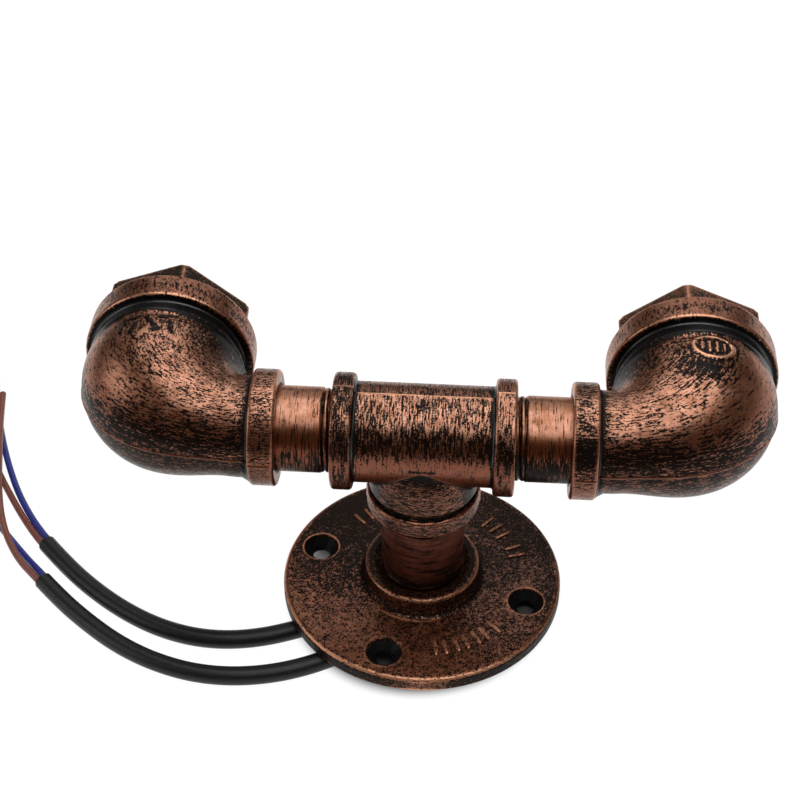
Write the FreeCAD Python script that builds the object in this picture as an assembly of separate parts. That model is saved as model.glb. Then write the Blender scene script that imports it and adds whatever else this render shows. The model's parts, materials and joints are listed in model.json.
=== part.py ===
import FreeCAD, Part
import math
import os

# Pipe wall light: a floor flange, a stem, a tee with an arm each side, and a
# reducing elbow on each arm whose mouth holds a lampholder behind a hex bush.
# Millimetres. Origin: centre of the flange's back face. +Z points out of the
# flange, the arms run along X, and both mouths point along +Y.

# Pipe and threads
pipe_od = 26.9
pipe_bore = 21.7
thread_crest = 26.4          # diameter over the pipe thread
thread_pitch = 1.81
thread_play = 0.05           # radial clearance of a pipe thread in its socket
thread_groove = 0.55         # depth of a thread turn that shows
thread_flank = 0.54          # along the pipe, from a turn's root to its crest
socket_flare = 1.7           # depth of the countersink at a socket's mouth
socket_flare_gap = 1.3       # radial opening of that countersink
socket_spare = 1.6           # room past a pipe's end in its socket
engagement = 12.4            # length of pipe inside a socket
overrun = 1.0                # how far a cutter runs past the face that it opens

# Wall flange
flange_r = 46.1
flange_thickness = 5.1
flange_edge_round = 1.6
flange_foot_round = 0.6
hub_r = 18.9
hub_height = 12.1
hub_edge_round = 1.3
hub_foot_round = 2.6
hub_rim = 1.6                # flat of the hub's rim, between its edge and its dished top
hub_dish_round = 0.5
screw_circle_r = 36.2
screw_count = 4
screw_first_angle = 73.5
screw_hole_r = 3.0
screw_sink_r = 5.9
screw_sink_depth = 3.1
bar_height = 0.6             # plain raised casting bars on the flange face
bar_width = 1.5
bar_length = 5.4
bar_circle_r = 32.6
bar_angles = (-66.0, -57.5, -49.0, -40.5, 36.0, 46.5, 118.0, 127.0)

# Stem, run and arms
run_height = 68.0            # run axis above the flange's back face
stem_start = 1.0             # foot of the stem above the back face
stem_thread_shows = 4.6      # thread that shows between tee and stem barrel
arm_thread_shows = 4.4       # thread that shows between tee and arm barrel
hub_thread_shows = 1.9       # thread that shows above the hub
arm_gap = 16.9               # pipe that shows between tee and elbow

# Tee
tee_reach = 28.4             # centre to each of the three ends
tee_body_r = 15.8
small_band_r = 18.35
tee_band_width = 6.6
band_edge_round = 1.1
neck_round = 1.6
casting_wall = 3.3

# Reducing elbow
elbow_small_reach = 39.3     # small face to mouth axis
elbow_big_reach = 40.4       # run axis to big face
elbow_band_width = 8.2
elbow_neck_r = 16.1
elbow_belly_r = 26.9
elbow_corner_r = 1.8         # radius of the inner corner
elbow_swell_start = 0.06     # share of the bend that keeps the neck's size
elbow_sections = 10
shoulder_length = 2.6        # straight belly past the bend, up to its shoulder
shoulder_round = 1.2
big_neck_r = 25.3
big_band_r = 27.5
big_band_width = 10.2
mouth_thread_r = 20.7
mouth_depth = 13.0

# Hex bush in the elbow's mouth
hex_corner_r = 25.95
hex_length = 8.5
hex_turn_left = 20.4         # angle of a corner from +X, about the mouth axis
hex_turn_right = 37.1
hex_chamfer = 0.7
bush_bore_r = 18.5
bush_lip = 2.0
bush_lip_r = 15.8
bush_lip_chamfer = 0.6
bush_tail = 12.2             # threaded tail inside the elbow

# Lampholder, E27
holder_length = 36.0
holder_play = 0.15
holder_front_length = 14.0
holder_rear_r = 16.6
holder_round = 0.8
holder_socket_r = 14.2
socket_depth = 22.5
holder_floor = 5.0
chamber_r = 13.2
ring_length = 3.5            # retaining ring behind the holder's shoulder
ring_play = 0.1
ring_slot_length = 3.2
ring_slot_width = 1.6
shell_major_r = 13.35
shell_minor_r = 12.25
shell_pitch = 3.629
shell_turns = 5
shell_land = 0.5             # straight stretch of each turn at the minor radius
shell_lead = 1.2             # plain wall behind the thread
shell_wall = 0.4
shell_flange_r = 8.6
cap_thickness = 2.5
cap_play = 0.1

# Contacts and terminals
terminal_size = 5.0
terminal_height = 6.0
line_place = 6.5             # centre-contact terminal, inboard of the mouth axis
neutral_place = -9.0         # shell terminal
foot_outer = 7.2
foot_inner = 3.6
foot_width = 5.0
strip = 0.5
tongue_gap = 0.2
tongue_length = 7.4
tongue_rise = 20.0
button_r = 1.7
button_height = 0.6
rivet_head_r = 1.7
rivet_head = 0.7
rivet_play = 0.05
line_rivet_r = 1.0
neutral_rivet_r = 1.25
neutral_rivet_place = -10.4
terminal_screw_r = 1.25
terminal_screw_play = 0.02
terminal_screw_spare = 0.5   # hole left past the screw's tip
terminal_screw_head_r = 2.1
terminal_screw_head = 1.6
cap_screw_r = 1.4
cap_screw_floor = 1.5        # floor left in front of the cap screw's hole
cap_screw_spare = 0.5
cap_screw_head_r = 2.7
cap_screw_head = 1.8
screw_slot = 0.8             # width and depth of a screw's slot

# Cables
cable_d = 6.2
core_d = 2.4
conductor_d = 1.2
conductor_shows = 0.8
core_gap = 0.15              # between the two cores of a cable
grommet_start = 8.5
grommet_length = 8.0
grommet_play = 0.1
cable_play = 0.1
core_straight = 5.0          # straight start of a core out of its sheath
left_lead_foot = (0.0, 4.1)  # where each cable passes the grommet
right_lead_foot = (4.0, -1.1)
hinge_split = 22.0           # where a lead passes from the tee to a turning arm
sheath_end = 14.6            # end of a lead's sheath, inboard of the mouth axis

# Sizes that follow
V = FreeCAD.Vector
pipe_r = pipe_od / 2
bore_r = pipe_bore / 2
crest_r = thread_crest / 2
socket_r = crest_r + thread_play
cable_r = cable_d / 2
core_r = core_d / 2
elbow_face = tee_reach + arm_gap
mouth_x = elbow_face + elbow_small_reach
mouth_y = elbow_big_reach + hex_length
holder_r = bush_bore_r - holder_play
holder_front = mouth_y - bush_lip
holder_back = holder_front - holder_length
floor_front = holder_front - socket_depth
floor_back = floor_front - holder_floor
holder_shoulder = holder_front - holder_front_length
core_side = core_r + core_gap / 2
neck_reach = elbow_neck_r + elbow_corner_r
belly_reach = elbow_belly_r + elbow_corner_r
shoulder = neck_reach + shoulder_length
big_band_start = elbow_big_reach - big_band_width
mouth_socket_r = mouth_thread_r + thread_play
rivet_place = (foot_outer + foot_inner) / 2
cap_screw_place = (line_place + neutral_place) / 2


def rounded_wire(points):
    """A closed wire in the XZ plane through (x, z, corner radius) points."""
    edges = []
    ends = []
    count = len(points)
    for i, (x, z, radius) in enumerate(points):
        here = V(x, 0, z)
        before = V(points[i - 1][0], 0, points[i - 1][1])
        after = V(points[(i + 1) % count][0], 0, points[(i + 1) % count][1])
        if radius == 0:
            ends.append((here, None, here))
            continue
        back = (before - here).normalize()
        ahead = (after - here).normalize()
        half = math.acos(max(-1.0, min(1.0, back.dot(ahead)))) / 2
        reach = radius / math.tan(half)
        middle = (back + ahead).normalize()
        nearest = here + middle * (radius / math.sin(half) - radius)
        ends.append((here + back * reach, nearest, here + ahead * reach))
    for i, (start, middle, end) in enumerate(ends):
        if middle is not None:
            edges.append(Part.Arc(start, middle, end).toShape())
        following = ends[(i + 1) % count][0]
        if (following - end).Length > 1e-6:
            edges.append(Part.LineSegment(end, following).toShape())
    return Part.Wire(edges)


def turned(points, base=V(0, 0, 0), axis=V(0, 0, 1)):
    """A solid of revolution: points are (radius, distance along axis, corner radius)."""
    face = Part.Face(rounded_wire(points))
    solid = face.revolve(V(0, 0, 0), V(0, 0, 1), 360)
    solid.Placement = FreeCAD.Placement(base, FreeCAD.Rotation(V(0, 0, 1), axis))
    return solid


def rod(radius, start, end):
    return Part.makeCylinder(radius, (end - start).Length, start, end - start)


def box_between(low, high):
    size = high - low
    return Part.makeBox(size.x, size.y, size.z, low)


def route_wire(points):
    """Straight runs joined by tangent arcs, each as large as its two runs allow."""
    edges = []
    radii = []
    start = points[0]
    for before, here, after in zip(points, points[1:], points[2:]):
        back = before - here
        ahead = after - here
        turn = math.pi - back.getAngle(ahead)
        radius = 0.45 * min(back.Length, ahead.Length) / math.tan(turn / 2)
        reach = radius * math.tan(turn / 2)
        radii.append(radius)
        arc_start = here + back.normalize() * reach
        arc_end = here + ahead.normalize() * reach
        middle = (back + ahead).normalize()
        nearest = here + middle * (radius / math.cos(turn / 2) - radius)
        edges.append(Part.LineSegment(start, arc_start).toShape())
        edges.append(Part.Arc(arc_start, nearest, arc_end).toShape())
        start = arc_end
    edges.append(Part.LineSegment(start, points[-1]).toShape())
    return Part.Wire(edges), radii


def tube(name, points, radius):
    """A round tube along a route, with its radii and its volume against its length."""
    wire, radii = route_wire(points)
    along = points[1] - points[0]
    ring = Part.Wire(Part.Circle(points[0], along, radius).toShape())
    solid = wire.makePipeShell([ring], True, False)
    if radii:
        share = solid.Volume / (math.pi * radius ** 2 * wire.Length)
        print(name, "length %.1f" % wire.Length, "volume share %.4f" % share,
              "radii", " ".join("%.0f" % r for r in radii))
    return solid


def save(name, *solids):
    """Write one node, from one solid or from a group of separate solids."""
    shape = solids[0] if len(solids) == 1 else Part.makeCompound(list(solids))
    if not shape.isValid():
        print("invalid:", name)
    shape.exportStep("parts/" + name + ".step")


def thread_turns(face, shows, heading):
    """Profile points of the turns that show past a socket's face, nearest the face first."""
    points = []
    for k in range(int(shows / thread_pitch)):
        root = (k + 0.5) * thread_pitch
        points.append((crest_r, face + heading * (root - thread_flank), 0))
        points.append((crest_r - thread_groove, face + heading * root, 0))
        points.append((crest_r, face + heading * (root + thread_flank), 0))
    return points


def pipe_profile(start, near_face, near_shows, far_face, far_shows, end):
    """A pipe's half section: threaded ends, a barrel, and the turns that show."""
    near_end = near_face + near_shows
    far_end = far_face - far_shows
    step = pipe_r - crest_r
    points = [(bore_r, start, 0), (crest_r, start, 0)]
    points += thread_turns(near_face, near_shows, 1)
    points += [(crest_r, near_end, 0), (pipe_r, near_end + step, 0)]
    points += [(pipe_r, far_end - step, 0), (crest_r, far_end, 0)]
    points += reversed(thread_turns(far_face, far_shows, -1))
    points += [(crest_r, end, 0), (bore_r, end, 0)]
    return points


def socket_cutter(face, inward, depth, radius):
    """The space of a threaded socket, with its countersink: axis along inward."""
    flare = radius + socket_flare_gap
    profile = [(0, -overrun, 0), (flare, -overrun, 0), (flare, 0, 0),
               (radius, socket_flare, 0), (radius, depth, 0), (0, depth, 0)]
    return turned(profile, face, inward)


# Wall flange
def wall_flange():
    dish_r = hub_r - hub_edge_round - hub_rim
    profile = [
        (socket_r + socket_flare_gap, 0, 0),
        (flange_r, 0, flange_foot_round),
        (flange_r, flange_thickness, flange_edge_round),
        (hub_r, flange_thickness, hub_foot_round),
        (hub_r, hub_height, hub_edge_round),
        (dish_r, hub_height, hub_dish_round),
        (socket_r, hub_height - socket_flare, 0),
        (socket_r, socket_flare, 0)]
    plate = turned(profile)
    for angle in bar_angles:
        low = V(bar_circle_r - bar_length / 2, -bar_width / 2, flange_thickness / 2)
        high = V(bar_circle_r + bar_length / 2, bar_width / 2, flange_thickness + bar_height)
        bar = box_between(low, high)
        bar.rotate(V(0, 0, 0), V(0, 0, 1), angle)
        plate = plate.fuse(bar)
    for k in range(screw_count):
        angle = math.radians(screw_first_angle + k * 360 / screw_count)
        centre = V(screw_circle_r * math.cos(angle), screw_circle_r * math.sin(angle), 0)
        sink_start = flange_thickness - screw_sink_depth
        top = flange_thickness + overrun
        hole = [(0, -overrun, 0), (screw_hole_r, -overrun, 0), (screw_hole_r, sink_start, 0),
                (screw_sink_r, flange_thickness, 0), (screw_sink_r, top, 0), (0, top, 0)]
        plate = plate.cut(turned(hole, centre))
    return plate


# Stem
def stem_nipple():
    tee_face = run_height - tee_reach
    return turned(pipe_profile(stem_start, hub_height, hub_thread_shows,
                               tee_face, stem_thread_shows, tee_face + engagement))


# Tee
def band_end(face, width, body_r):
    """Profile points of a banded end, from the body out to the face."""
    return [(body_r, face - width, neck_round / 2), (small_band_r, face - width, band_edge_round),
            (small_band_r, face, band_edge_round)]


def pipe_tee():
    right = band_end(tee_reach, tee_band_width, tee_body_r)
    left = [(r, -along, corner) for r, along, corner in reversed(right)]
    run = turned([(0, -tee_reach, 0)] + left + right + [(0, tee_reach, 0)],
                 V(0, 0, run_height), V(1, 0, 0))
    branch = turned([(0, 0, 0), (tee_body_r, 0, 0)]
                    + band_end(tee_reach, tee_band_width, tee_body_r) + [(0, tee_reach, 0)],
                    V(0, 0, run_height), V(0, 0, -1))
    body = run.fuse(branch).removeSplitter()
    centre = V(0, 0, run_height)
    inner = tee_body_r - casting_wall
    for direction in (V(1, 0, 0), V(-1, 0, 0), V(0, 0, -1)):
        face = centre + direction * tee_reach
        body = body.cut(socket_cutter(face, direction * -1, engagement + socket_spare, socket_r))
        body = body.cut(rod(inner, centre, face - direction * engagement))
    return body


# Arm pipe
def arm_nipple(side):
    profile = pipe_profile(tee_reach - engagement, tee_reach, arm_thread_shows,
                           elbow_face + socket_flare / 2, 0, elbow_face + engagement)
    return turned(profile, V(0, 0, run_height), V(side, 0, 0))


# Reducing elbow: its bend is a fan of round sections about a line at the inner corner
def bend_pivot(side):
    return V(side * (mouth_x - belly_reach), neck_reach, run_height)


def bend_radius(share):
    """The neck's radius at the start of the bend, swelling smoothly to the belly's."""
    t = max(0.0, (share - elbow_swell_start) / (1 - elbow_swell_start))
    return elbow_neck_r + (elbow_belly_r - elbow_neck_r) * t * t * (3 - 2 * t)


def bend(side, inset):
    """The bend as one smooth skin: exact circles, carried from the run round to the mouth."""
    shares = [k / (elbow_sections - 1) for k in range(elbow_sections)]
    square = [(1, 0), (1, 1), (0, 1), (-1, 1), (-1, 0), (-1, -1), (0, -1), (1, -1), (1, 0)]
    rails = []
    for across, up in square:
        rail = []
        slopes = []
        for share in shares:
            angle = share * math.pi / 2
            outward = V(side * math.sin(angle), -math.cos(angle), 0)
            along = V(side * math.cos(angle), math.sin(angle), 0)
            radius = bend_radius(share) - inset
            reach = elbow_corner_r + inset + radius * (1 + across)
            rail.append(bend_pivot(side) + outward * reach + V(0, 0, up * radius))
            slopes.append(along * reach * math.pi / 2)
        curve = Part.BSplineCurve()
        curve.interpolate(Points=rail, Parameters=shares,
                          InitialTangent=slopes[0], FinalTangent=slopes[-1], Scale=False)
        rails.append(curve)
    corner = math.sqrt(0.5)
    rows = list(zip(*[rail.getPoles() for rail in rails]))
    weights = [[1, corner, 1, corner, 1, corner, 1, corner, 1] for _ in rows]
    skin = Part.BSplineSurface()
    skin.buildFromPolesMultsKnots(
        rows, rails[0].getMultiplicities(), [3, 2, 2, 2, 3],
        rails[0].getKnots(), [0, 1, 2, 3, 4], False, False, rails[0].Degree, 2, weights)
    side_face = skin.toShape()
    ends = [edge for edge in side_face.Edges if edge.isClosed()]
    caps = [Part.Face(Part.Wire([edge])) for edge in ends]
    closed = Part.Compound([side_face] + caps)
    closed.sewShape()
    solid = Part.Solid(closed.Shells[0])
    if solid.Volume < 0:
        solid.reverse()
    return solid


def elbow(side):
    run_start = V(side * elbow_face, 0, run_height)
    outward = V(side, 0, 0)
    mouth = V(side * mouth_x, 0, run_height)
    neck_end = elbow_small_reach - belly_reach
    small = turned([(0, 0, 0), (small_band_r, 0, band_edge_round),
                    (small_band_r, elbow_band_width, band_edge_round),
                    (elbow_neck_r, elbow_band_width, neck_round / 4),
                    (elbow_neck_r, neck_end, 0), (0, neck_end, 0)], run_start, outward)
    big = turned([(0, neck_reach, 0), (elbow_belly_r, neck_reach, 0),
                  (elbow_belly_r, shoulder, shoulder_round), (big_neck_r, shoulder, neck_round / 4),
                  (big_neck_r, big_band_start, neck_round / 2),
                  (big_band_r, big_band_start, band_edge_round),
                  (big_band_r, elbow_big_reach, band_edge_round),
                  (0, elbow_big_reach, 0)], mouth, V(0, 1, 0))
    body = bend(side, 0).fuse([small, big]).removeSplitter()
    mouth_start = elbow_big_reach - mouth_depth
    throat = turned([(0, neck_reach, 0), (elbow_belly_r - casting_wall, neck_reach, 0),
                     (mouth_socket_r, mouth_start, 0),
                     (mouth_socket_r, elbow_big_reach + overrun, 0),
                     (0, elbow_big_reach + overrun, 0)], mouth, V(0, 1, 0))
    body = body.cut(bend(side, casting_wall))
    body = body.cut(throat)
    return body.cut(socket_cutter(run_start, outward, engagement + socket_spare, socket_r))


# Hex bush
def hex_bush(side):
    turn = hex_turn_left if side < 0 else hex_turn_right
    mouth = V(side * mouth_x, 0, run_height)
    corners = []
    for k in range(6):
        angle = math.radians(turn + 60 * k)
        corners.append(mouth + V(hex_corner_r * math.cos(angle), elbow_big_reach,
                                 hex_corner_r * math.sin(angle)))
    outline = Part.makePolygon(corners + [corners[0]])
    head = Part.Face(outline).extrude(V(0, hex_length, 0))
    # corners are turned down at the outer face
    low = elbow_big_reach - overrun
    crown = turned([(0, low, 0), (hex_corner_r + overrun, low, 0),
                    (hex_corner_r + overrun, mouth_y - hex_chamfer, 0),
                    (hex_corner_r - hex_chamfer, mouth_y, 0), (0, mouth_y, 0)],
                   mouth, V(0, 1, 0))
    head = head.common(crown)
    tail_end = elbow_big_reach - bush_tail
    tail = rod(mouth_thread_r, mouth + V(0, tail_end, 0), mouth + V(0, elbow_big_reach, 0))
    body = head.fuse(tail).removeSplitter()
    bore = turned([(0, tail_end - overrun, 0), (bush_bore_r, tail_end - overrun, 0),
                   (bush_bore_r, holder_front, 0), (bush_lip_r, holder_front, 0),
                   (bush_lip_r, mouth_y - bush_lip_chamfer, 0),
                   (bush_lip_r + bush_lip_chamfer + overrun, mouth_y + overrun, 0),
                   (0, mouth_y + overrun, 0)], mouth, V(0, 1, 0))
    return body.cut(bore)


# Lampholder
def from_mouth(side, inboard, y, up):
    """A point from its place inboard of the mouth axis, along it and above it."""
    return V(side * (mouth_x - inboard), y, run_height + up)


def holder_body(side):
    profile = [
        (chamber_r, holder_back, 0), (holder_rear_r, holder_back, holder_round),
        (holder_rear_r, holder_shoulder, 0), (holder_r, holder_shoulder, 0),
        (holder_r, holder_front, holder_round), (holder_socket_r, holder_front, holder_round),
        (holder_socket_r, floor_front, 0), (0, floor_front, 0), (0, floor_back, 0),
        (chamber_r, floor_back, 0)]
    body = turned(profile, from_mouth(side, 0, 0, 0), V(0, 1, 0))
    for place, radius in ((rivet_place, line_rivet_r), (neutral_rivet_place, neutral_rivet_r)):
        body = body.cut(rod(radius + rivet_play, from_mouth(side, place, floor_back - overrun, 0),
                            from_mouth(side, place, floor_front + overrun, 0)))
    hole_end = floor_front - cap_screw_floor
    return body.cut(rod(cap_screw_r, from_mouth(side, cap_screw_place, floor_back - overrun, 0),
                        from_mouth(side, cap_screw_place, hole_end, 0)))


def retaining_ring(side):
    outer = bush_bore_r - ring_play / 2
    inner = holder_rear_r + ring_play
    ring_back = holder_shoulder - ring_length
    ring = turned([(inner, ring_back, 0), (outer, ring_back, 0),
                   (outer, holder_shoulder, 0), (inner, holder_shoulder, 0)],
                  from_mouth(side, 0, 0, 0), V(0, 1, 0))
    # two slots for the key that turns it
    half = V(ring_slot_length / 2, ring_length / 2, ring_slot_width / 2)
    for place in (outer, -outer):
        middle = from_mouth(side, place, ring_back, 0)
        ring = ring.cut(box_between(middle - half, middle + half))
    return ring


def screw_shell(side):
    """The thread's waves: an arc out to the major radius, then one in to a land at the minor."""
    swing = (shell_major_r - shell_minor_r) / 2
    inner = (shell_major_r + shell_minor_r) / 2
    outer = inner + shell_wall
    back = floor_front
    front = floor_front + shell_wall
    start = front + shell_lead
    half_turn = shell_pitch / 2
    end = start + shell_turns * shell_pitch
    reach = (half_turn - shell_land) / 2
    arc_r = (swing ** 2 + reach ** 2) / (2 * swing)
    half_angle = math.asin(reach / arc_r) / 2

    def line(*corners):
        points = [V(radius, 0, along) for radius, along in corners]
        return [Part.LineSegment(a, b).toShape() for a, b in zip(points, points[1:])]

    def arc(first, middle, last):
        return [Part.Arc(*[V(radius, 0, along) for radius, along in (first, middle, last)]).toShape()]

    def wave(radius):
        edges = []
        low_r = radius - swing
        bulge = low_r + arc_r * (1 - math.cos(half_angle))
        rise = arc_r * math.sin(half_angle)
        for k in range(shell_turns):
            low = start + k * shell_pitch
            dip = low + half_turn
            land = dip + reach
            edges += arc((radius, low), (radius + swing, low + half_turn / 2), (radius, dip))
            edges += arc((radius, dip), (bulge, land - rise), (low_r, land))
            edges += line((low_r, land), (low_r, land + shell_land))
            edges += arc((low_r, land + shell_land), (bulge, land + shell_land + rise),
                         (radius, low + shell_pitch))
        return edges

    edges = line((shell_flange_r, back), (outer, back), (outer, start))
    edges += wave(outer) + line((outer, end), (inner, end)) + wave(inner)[::-1]
    edges += line((inner, start), (inner, front), (shell_flange_r, front), (shell_flange_r, back))
    shell = Part.Face(Part.Wire(edges)).revolve(V(0, 0, 0), V(0, 0, 1), 360)
    shell.Placement = FreeCAD.Placement(from_mouth(side, 0, 0, 0),
                                        FreeCAD.Rotation(V(0, 0, 1), V(0, 1, 0)))
    return shell.cut(rod(neutral_rivet_r + rivet_play,
                         from_mouth(side, neutral_rivet_place, back - overrun, 0),
                         from_mouth(side, neutral_rivet_place, front + overrun, 0)))


def holder_cap(side):
    cap_front = holder_back + cap_thickness
    disc = rod(chamber_r - cap_play, from_mouth(side, 0, holder_back, 0),
               from_mouth(side, 0, cap_front, 0))
    for place, radius in ((line_place, core_r + cable_play), (neutral_place, core_r + cable_play),
                          (cap_screw_place, cap_screw_r + rivet_play)):
        disc = disc.cut(rod(radius, from_mouth(side, place, holder_back - overrun, 0),
                            from_mouth(side, place, cap_front + overrun, 0)))
    return disc


def cap_screw(side):
    head_back = holder_back - cap_screw_head
    tip = floor_front - cap_screw_floor - cap_screw_spare
    head = rod(cap_screw_head_r, from_mouth(side, cap_screw_place, head_back, 0),
               from_mouth(side, cap_screw_place, holder_back, 0))
    shaft = rod(cap_screw_r, from_mouth(side, cap_screw_place, holder_back - cap_screw_head / 2, 0),
                from_mouth(side, cap_screw_place, tip, 0))
    half = V(screw_slot / 2, screw_slot, cap_screw_head_r + overrun)
    middle = from_mouth(side, cap_screw_place, head_back, 0)
    return head.fuse(shaft).removeSplitter().cut(box_between(middle - half, middle + half))


def terminals(side):
    """The two terminal blocks, each with the hole for its screw."""
    blocks = []
    half = terminal_size / 2
    for place in (line_place, neutral_place):
        centre = from_mouth(side, place, floor_back - half, 0)
        block = box_between(centre - V(half, half, terminal_height / 2),
                            centre + V(half, half, terminal_height / 2))
        block = block.cut(rod(terminal_screw_r, centre, centre + V(0, 0, terminal_height)))
        blocks.append(block)
    return blocks


def terminal_screws(side):
    screws = []
    top = terminal_height / 2
    for place in (line_place, neutral_place):
        centre = from_mouth(side, place, floor_back - terminal_size / 2, 0)
        shaft = rod(terminal_screw_r - terminal_screw_play, centre + V(0, 0, terminal_screw_spare),
                    centre + V(0, 0, top + terminal_screw_head / 2))
        head = rod(terminal_screw_head_r, centre + V(0, 0, top),
                   centre + V(0, 0, top + terminal_screw_head))
        screws.append(head.fuse(shaft).removeSplitter())
    return screws


def contact_foot(side):
    low = from_mouth(side, foot_inner, floor_front, -foot_width / 2)
    high = from_mouth(side, foot_outer, floor_front + strip, foot_width / 2)
    corner_low = V(min(low.x, high.x), low.y, low.z)
    corner_high = V(max(low.x, high.x), high.y, high.z)
    foot = box_between(corner_low, corner_high)
    return foot.cut(rod(line_rivet_r + rivet_play,
                        from_mouth(side, rivet_place, floor_front - overrun, 0),
                        from_mouth(side, rivet_place, floor_front + strip + overrun, 0)))


def contact_rivets(side):
    """One rivet through the foot, one through the shell's flange, both through the floor."""
    rivets = []
    for place, radius, seat in ((rivet_place, line_rivet_r, floor_front + strip),
                                (neutral_rivet_place, neutral_rivet_r, floor_front + shell_wall)):
        shaft = rod(radius, from_mouth(side, place, floor_back, 0),
                    from_mouth(side, place, seat + rivet_head / 2, 0))
        head = rod(rivet_head_r, from_mouth(side, place, seat, 0),
                   from_mouth(side, place, seat + rivet_head, 0))
        rivets.append(shaft.fuse(head).removeSplitter())
    return rivets


def centre_contact(side):
    """The sprung tongue, made flat from its hinge and then raised to its rest slope."""
    root = foot_inner - tongue_gap
    blade = box_between(V(0, -strip / 2, -foot_width / 2), V(tongue_length, strip / 2, foot_width / 2))
    button = rod(button_r, V(root, 0, 0), V(root, strip / 2 + button_height, 0))
    tongue = blade.fuse(button).removeSplitter()
    tongue.rotate(V(0, 0, 0), V(0, 0, 1), tongue_rise)
    if side < 0:
        tongue = tongue.mirror(V(0, 0, 0), V(1, 0, 0))
    tongue.translate(from_mouth(side, root, floor_front + strip / 2, 0))
    return tongue


# Leads inside the light
def cable_grommet():
    top = grommet_start + grommet_length
    plug = rod(bore_r - grommet_play, V(0, 0, grommet_start), V(0, 0, top))
    for x, y in (left_lead_foot, right_lead_foot):
        plug = plug.cut(rod(cable_r + cable_play, V(x, y, grommet_start - overrun),
                            V(x, y, top + overrun)))
    return plug


def stem_lead(side):
    """A cable from the grommet up the stem and round into an arm."""
    x, y = left_lead_foot if side < 0 else right_lead_foot
    points = [
        V(x, y, grommet_start),
        V(x, y, grommet_start + 2.5 * grommet_length),
        V(x + 0.5 * side, y + 0.3, run_height - 18.0),
        V(x + 4.5 * side, y * 0.6, run_height - 6.5),
        V(x / 2 + 12.0 * side, 0, run_height),
        V(hinge_split * side, 0, run_height)]
    return tube("stem lead", points, cable_r)


def head_lead(side):
    return rod(cable_r, V(side * hinge_split, 0, run_height), from_mouth(side, sheath_end, 0, 0))


def head_core(side, place, up):
    """A core from the sheath's end round to its terminal through the rear cap."""
    reach = sheath_end - place
    points = [
        from_mouth(side, sheath_end, 0, up), from_mouth(side, sheath_end - 0.3 * reach, 0, up),
        from_mouth(side, place + 0.12 * reach, 2.4, up * 0.6),
        from_mouth(side, place, 6.6, 0), from_mouth(side, place, floor_back - terminal_size, 0)]
    return tube("head core", points, core_r)


# Free cables: points by hand, from the grommet down, out under the flange and along
# the surface that the light lies on, tilted as far as the cables lift its near side
left_cable_points = [
    (*left_lead_foot, grommet_start), (*left_lead_foot, 2.0), (-4.4, 0.9, -3.35), (-11.6, -3.9, -3.35),
    (-23.5, -11.6, -3.3), (-38.8, -19.6, -3.3), (-54.0, -24.4, -4.1), (-69.2, -25.0, -4.9),
    (-84.3, -21.0, -5.7), (-98.8, -13.2, -6.3), (-112.6, -2.6, -6.8), (-124.2, 8.6, -7.1),
    (-131.9, 17.3, -7.3)]
right_cable_points = [
    (*right_lead_foot, grommet_start), (*right_lead_foot, 2.0), (0.4, -5.2, -3.35), (-5.0, -11.6, -3.35),
    (-14.0, -21.2, -3.3), (-26.0, -30.6, -3.3), (-40.4, -37.2, -3.9), (-55.4, -40.0, -4.7),
    (-70.4, -39.2, -5.5), (-85.2, -34.6, -6.2), (-99.2, -27.0, -6.8), (-112.4, -16.6, -7.3),
    (-122.4, -7.4, -7.6), (-129.6, 0.2, -7.7)]


def leaving(cable_points, offset):
    """The first two points of a core: square out of its sheath's end, beside the axis."""
    end, before = V(*cable_points[-1]), V(*cable_points[-2])
    along = (end - before).normalize()
    sideways = along.cross(V(0, 0, 1)).normalize() * offset
    first = end + sideways
    second = first + along * core_straight
    return [tuple(first), tuple(second)]


left_blue_points = leaving(left_cable_points, core_side) + [
    (-140.6, 30.6, -7.9), (-147.6, 42.4, -8.8), (-153.4, 54.4, -9.2),
    (-158.8, 67.2, -9.3), (-163.6, 80.6, -9.2), (-167.8, 94.2, -8.9), (-170.6, 106.0, -8.6)]
left_brown_points = leaving(left_cable_points, -core_side) + [
    (-143.4, 30.6, -8.6), (-150.9, 42.6, -9.6), (-158.2, 55.0, -10.3),
    (-165.0, 68.4, -10.2), (-170.6, 82.4, -9.9), (-174.8, 95.6, -9.6), (-177.4, 106.4, -9.2)]
right_brown_points = leaving(right_cable_points, -core_side) + [
    (-139.8, 8.8, -7.4), (-146.3, 18.8, -7.0), (-151.0, 29.8, -6.4), (-154.4, 41.6, -5.9),
    (-157.2, 54.2, -5.7), (-160.0, 67.4, -5.7), (-162.8, 81.0, -6.1), (-165.2, 94.6, -7.0)]
right_blue_points = leaving(right_cable_points, core_side) + [
    (-138.2, 12.2, -9.9), (-146.6, 22.0, -10.3), (-155.2, 32.6, -10.9), (-163.2, 44.2, -11.2),
    (-170.2, 57.0, -11.2), (-176.0, 70.2, -11.0), (-179.6, 82.0, -10.7)]


def as_vectors(points):
    return [V(*p) for p in points]


def conductor(points):
    """The bare copper that shows past a core's cut end."""
    last, before = V(*points[-1]), V(*points[-2])
    along = (last - before).normalize()
    return rod(conductor_d / 2, last, last + along * conductor_shows)


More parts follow.
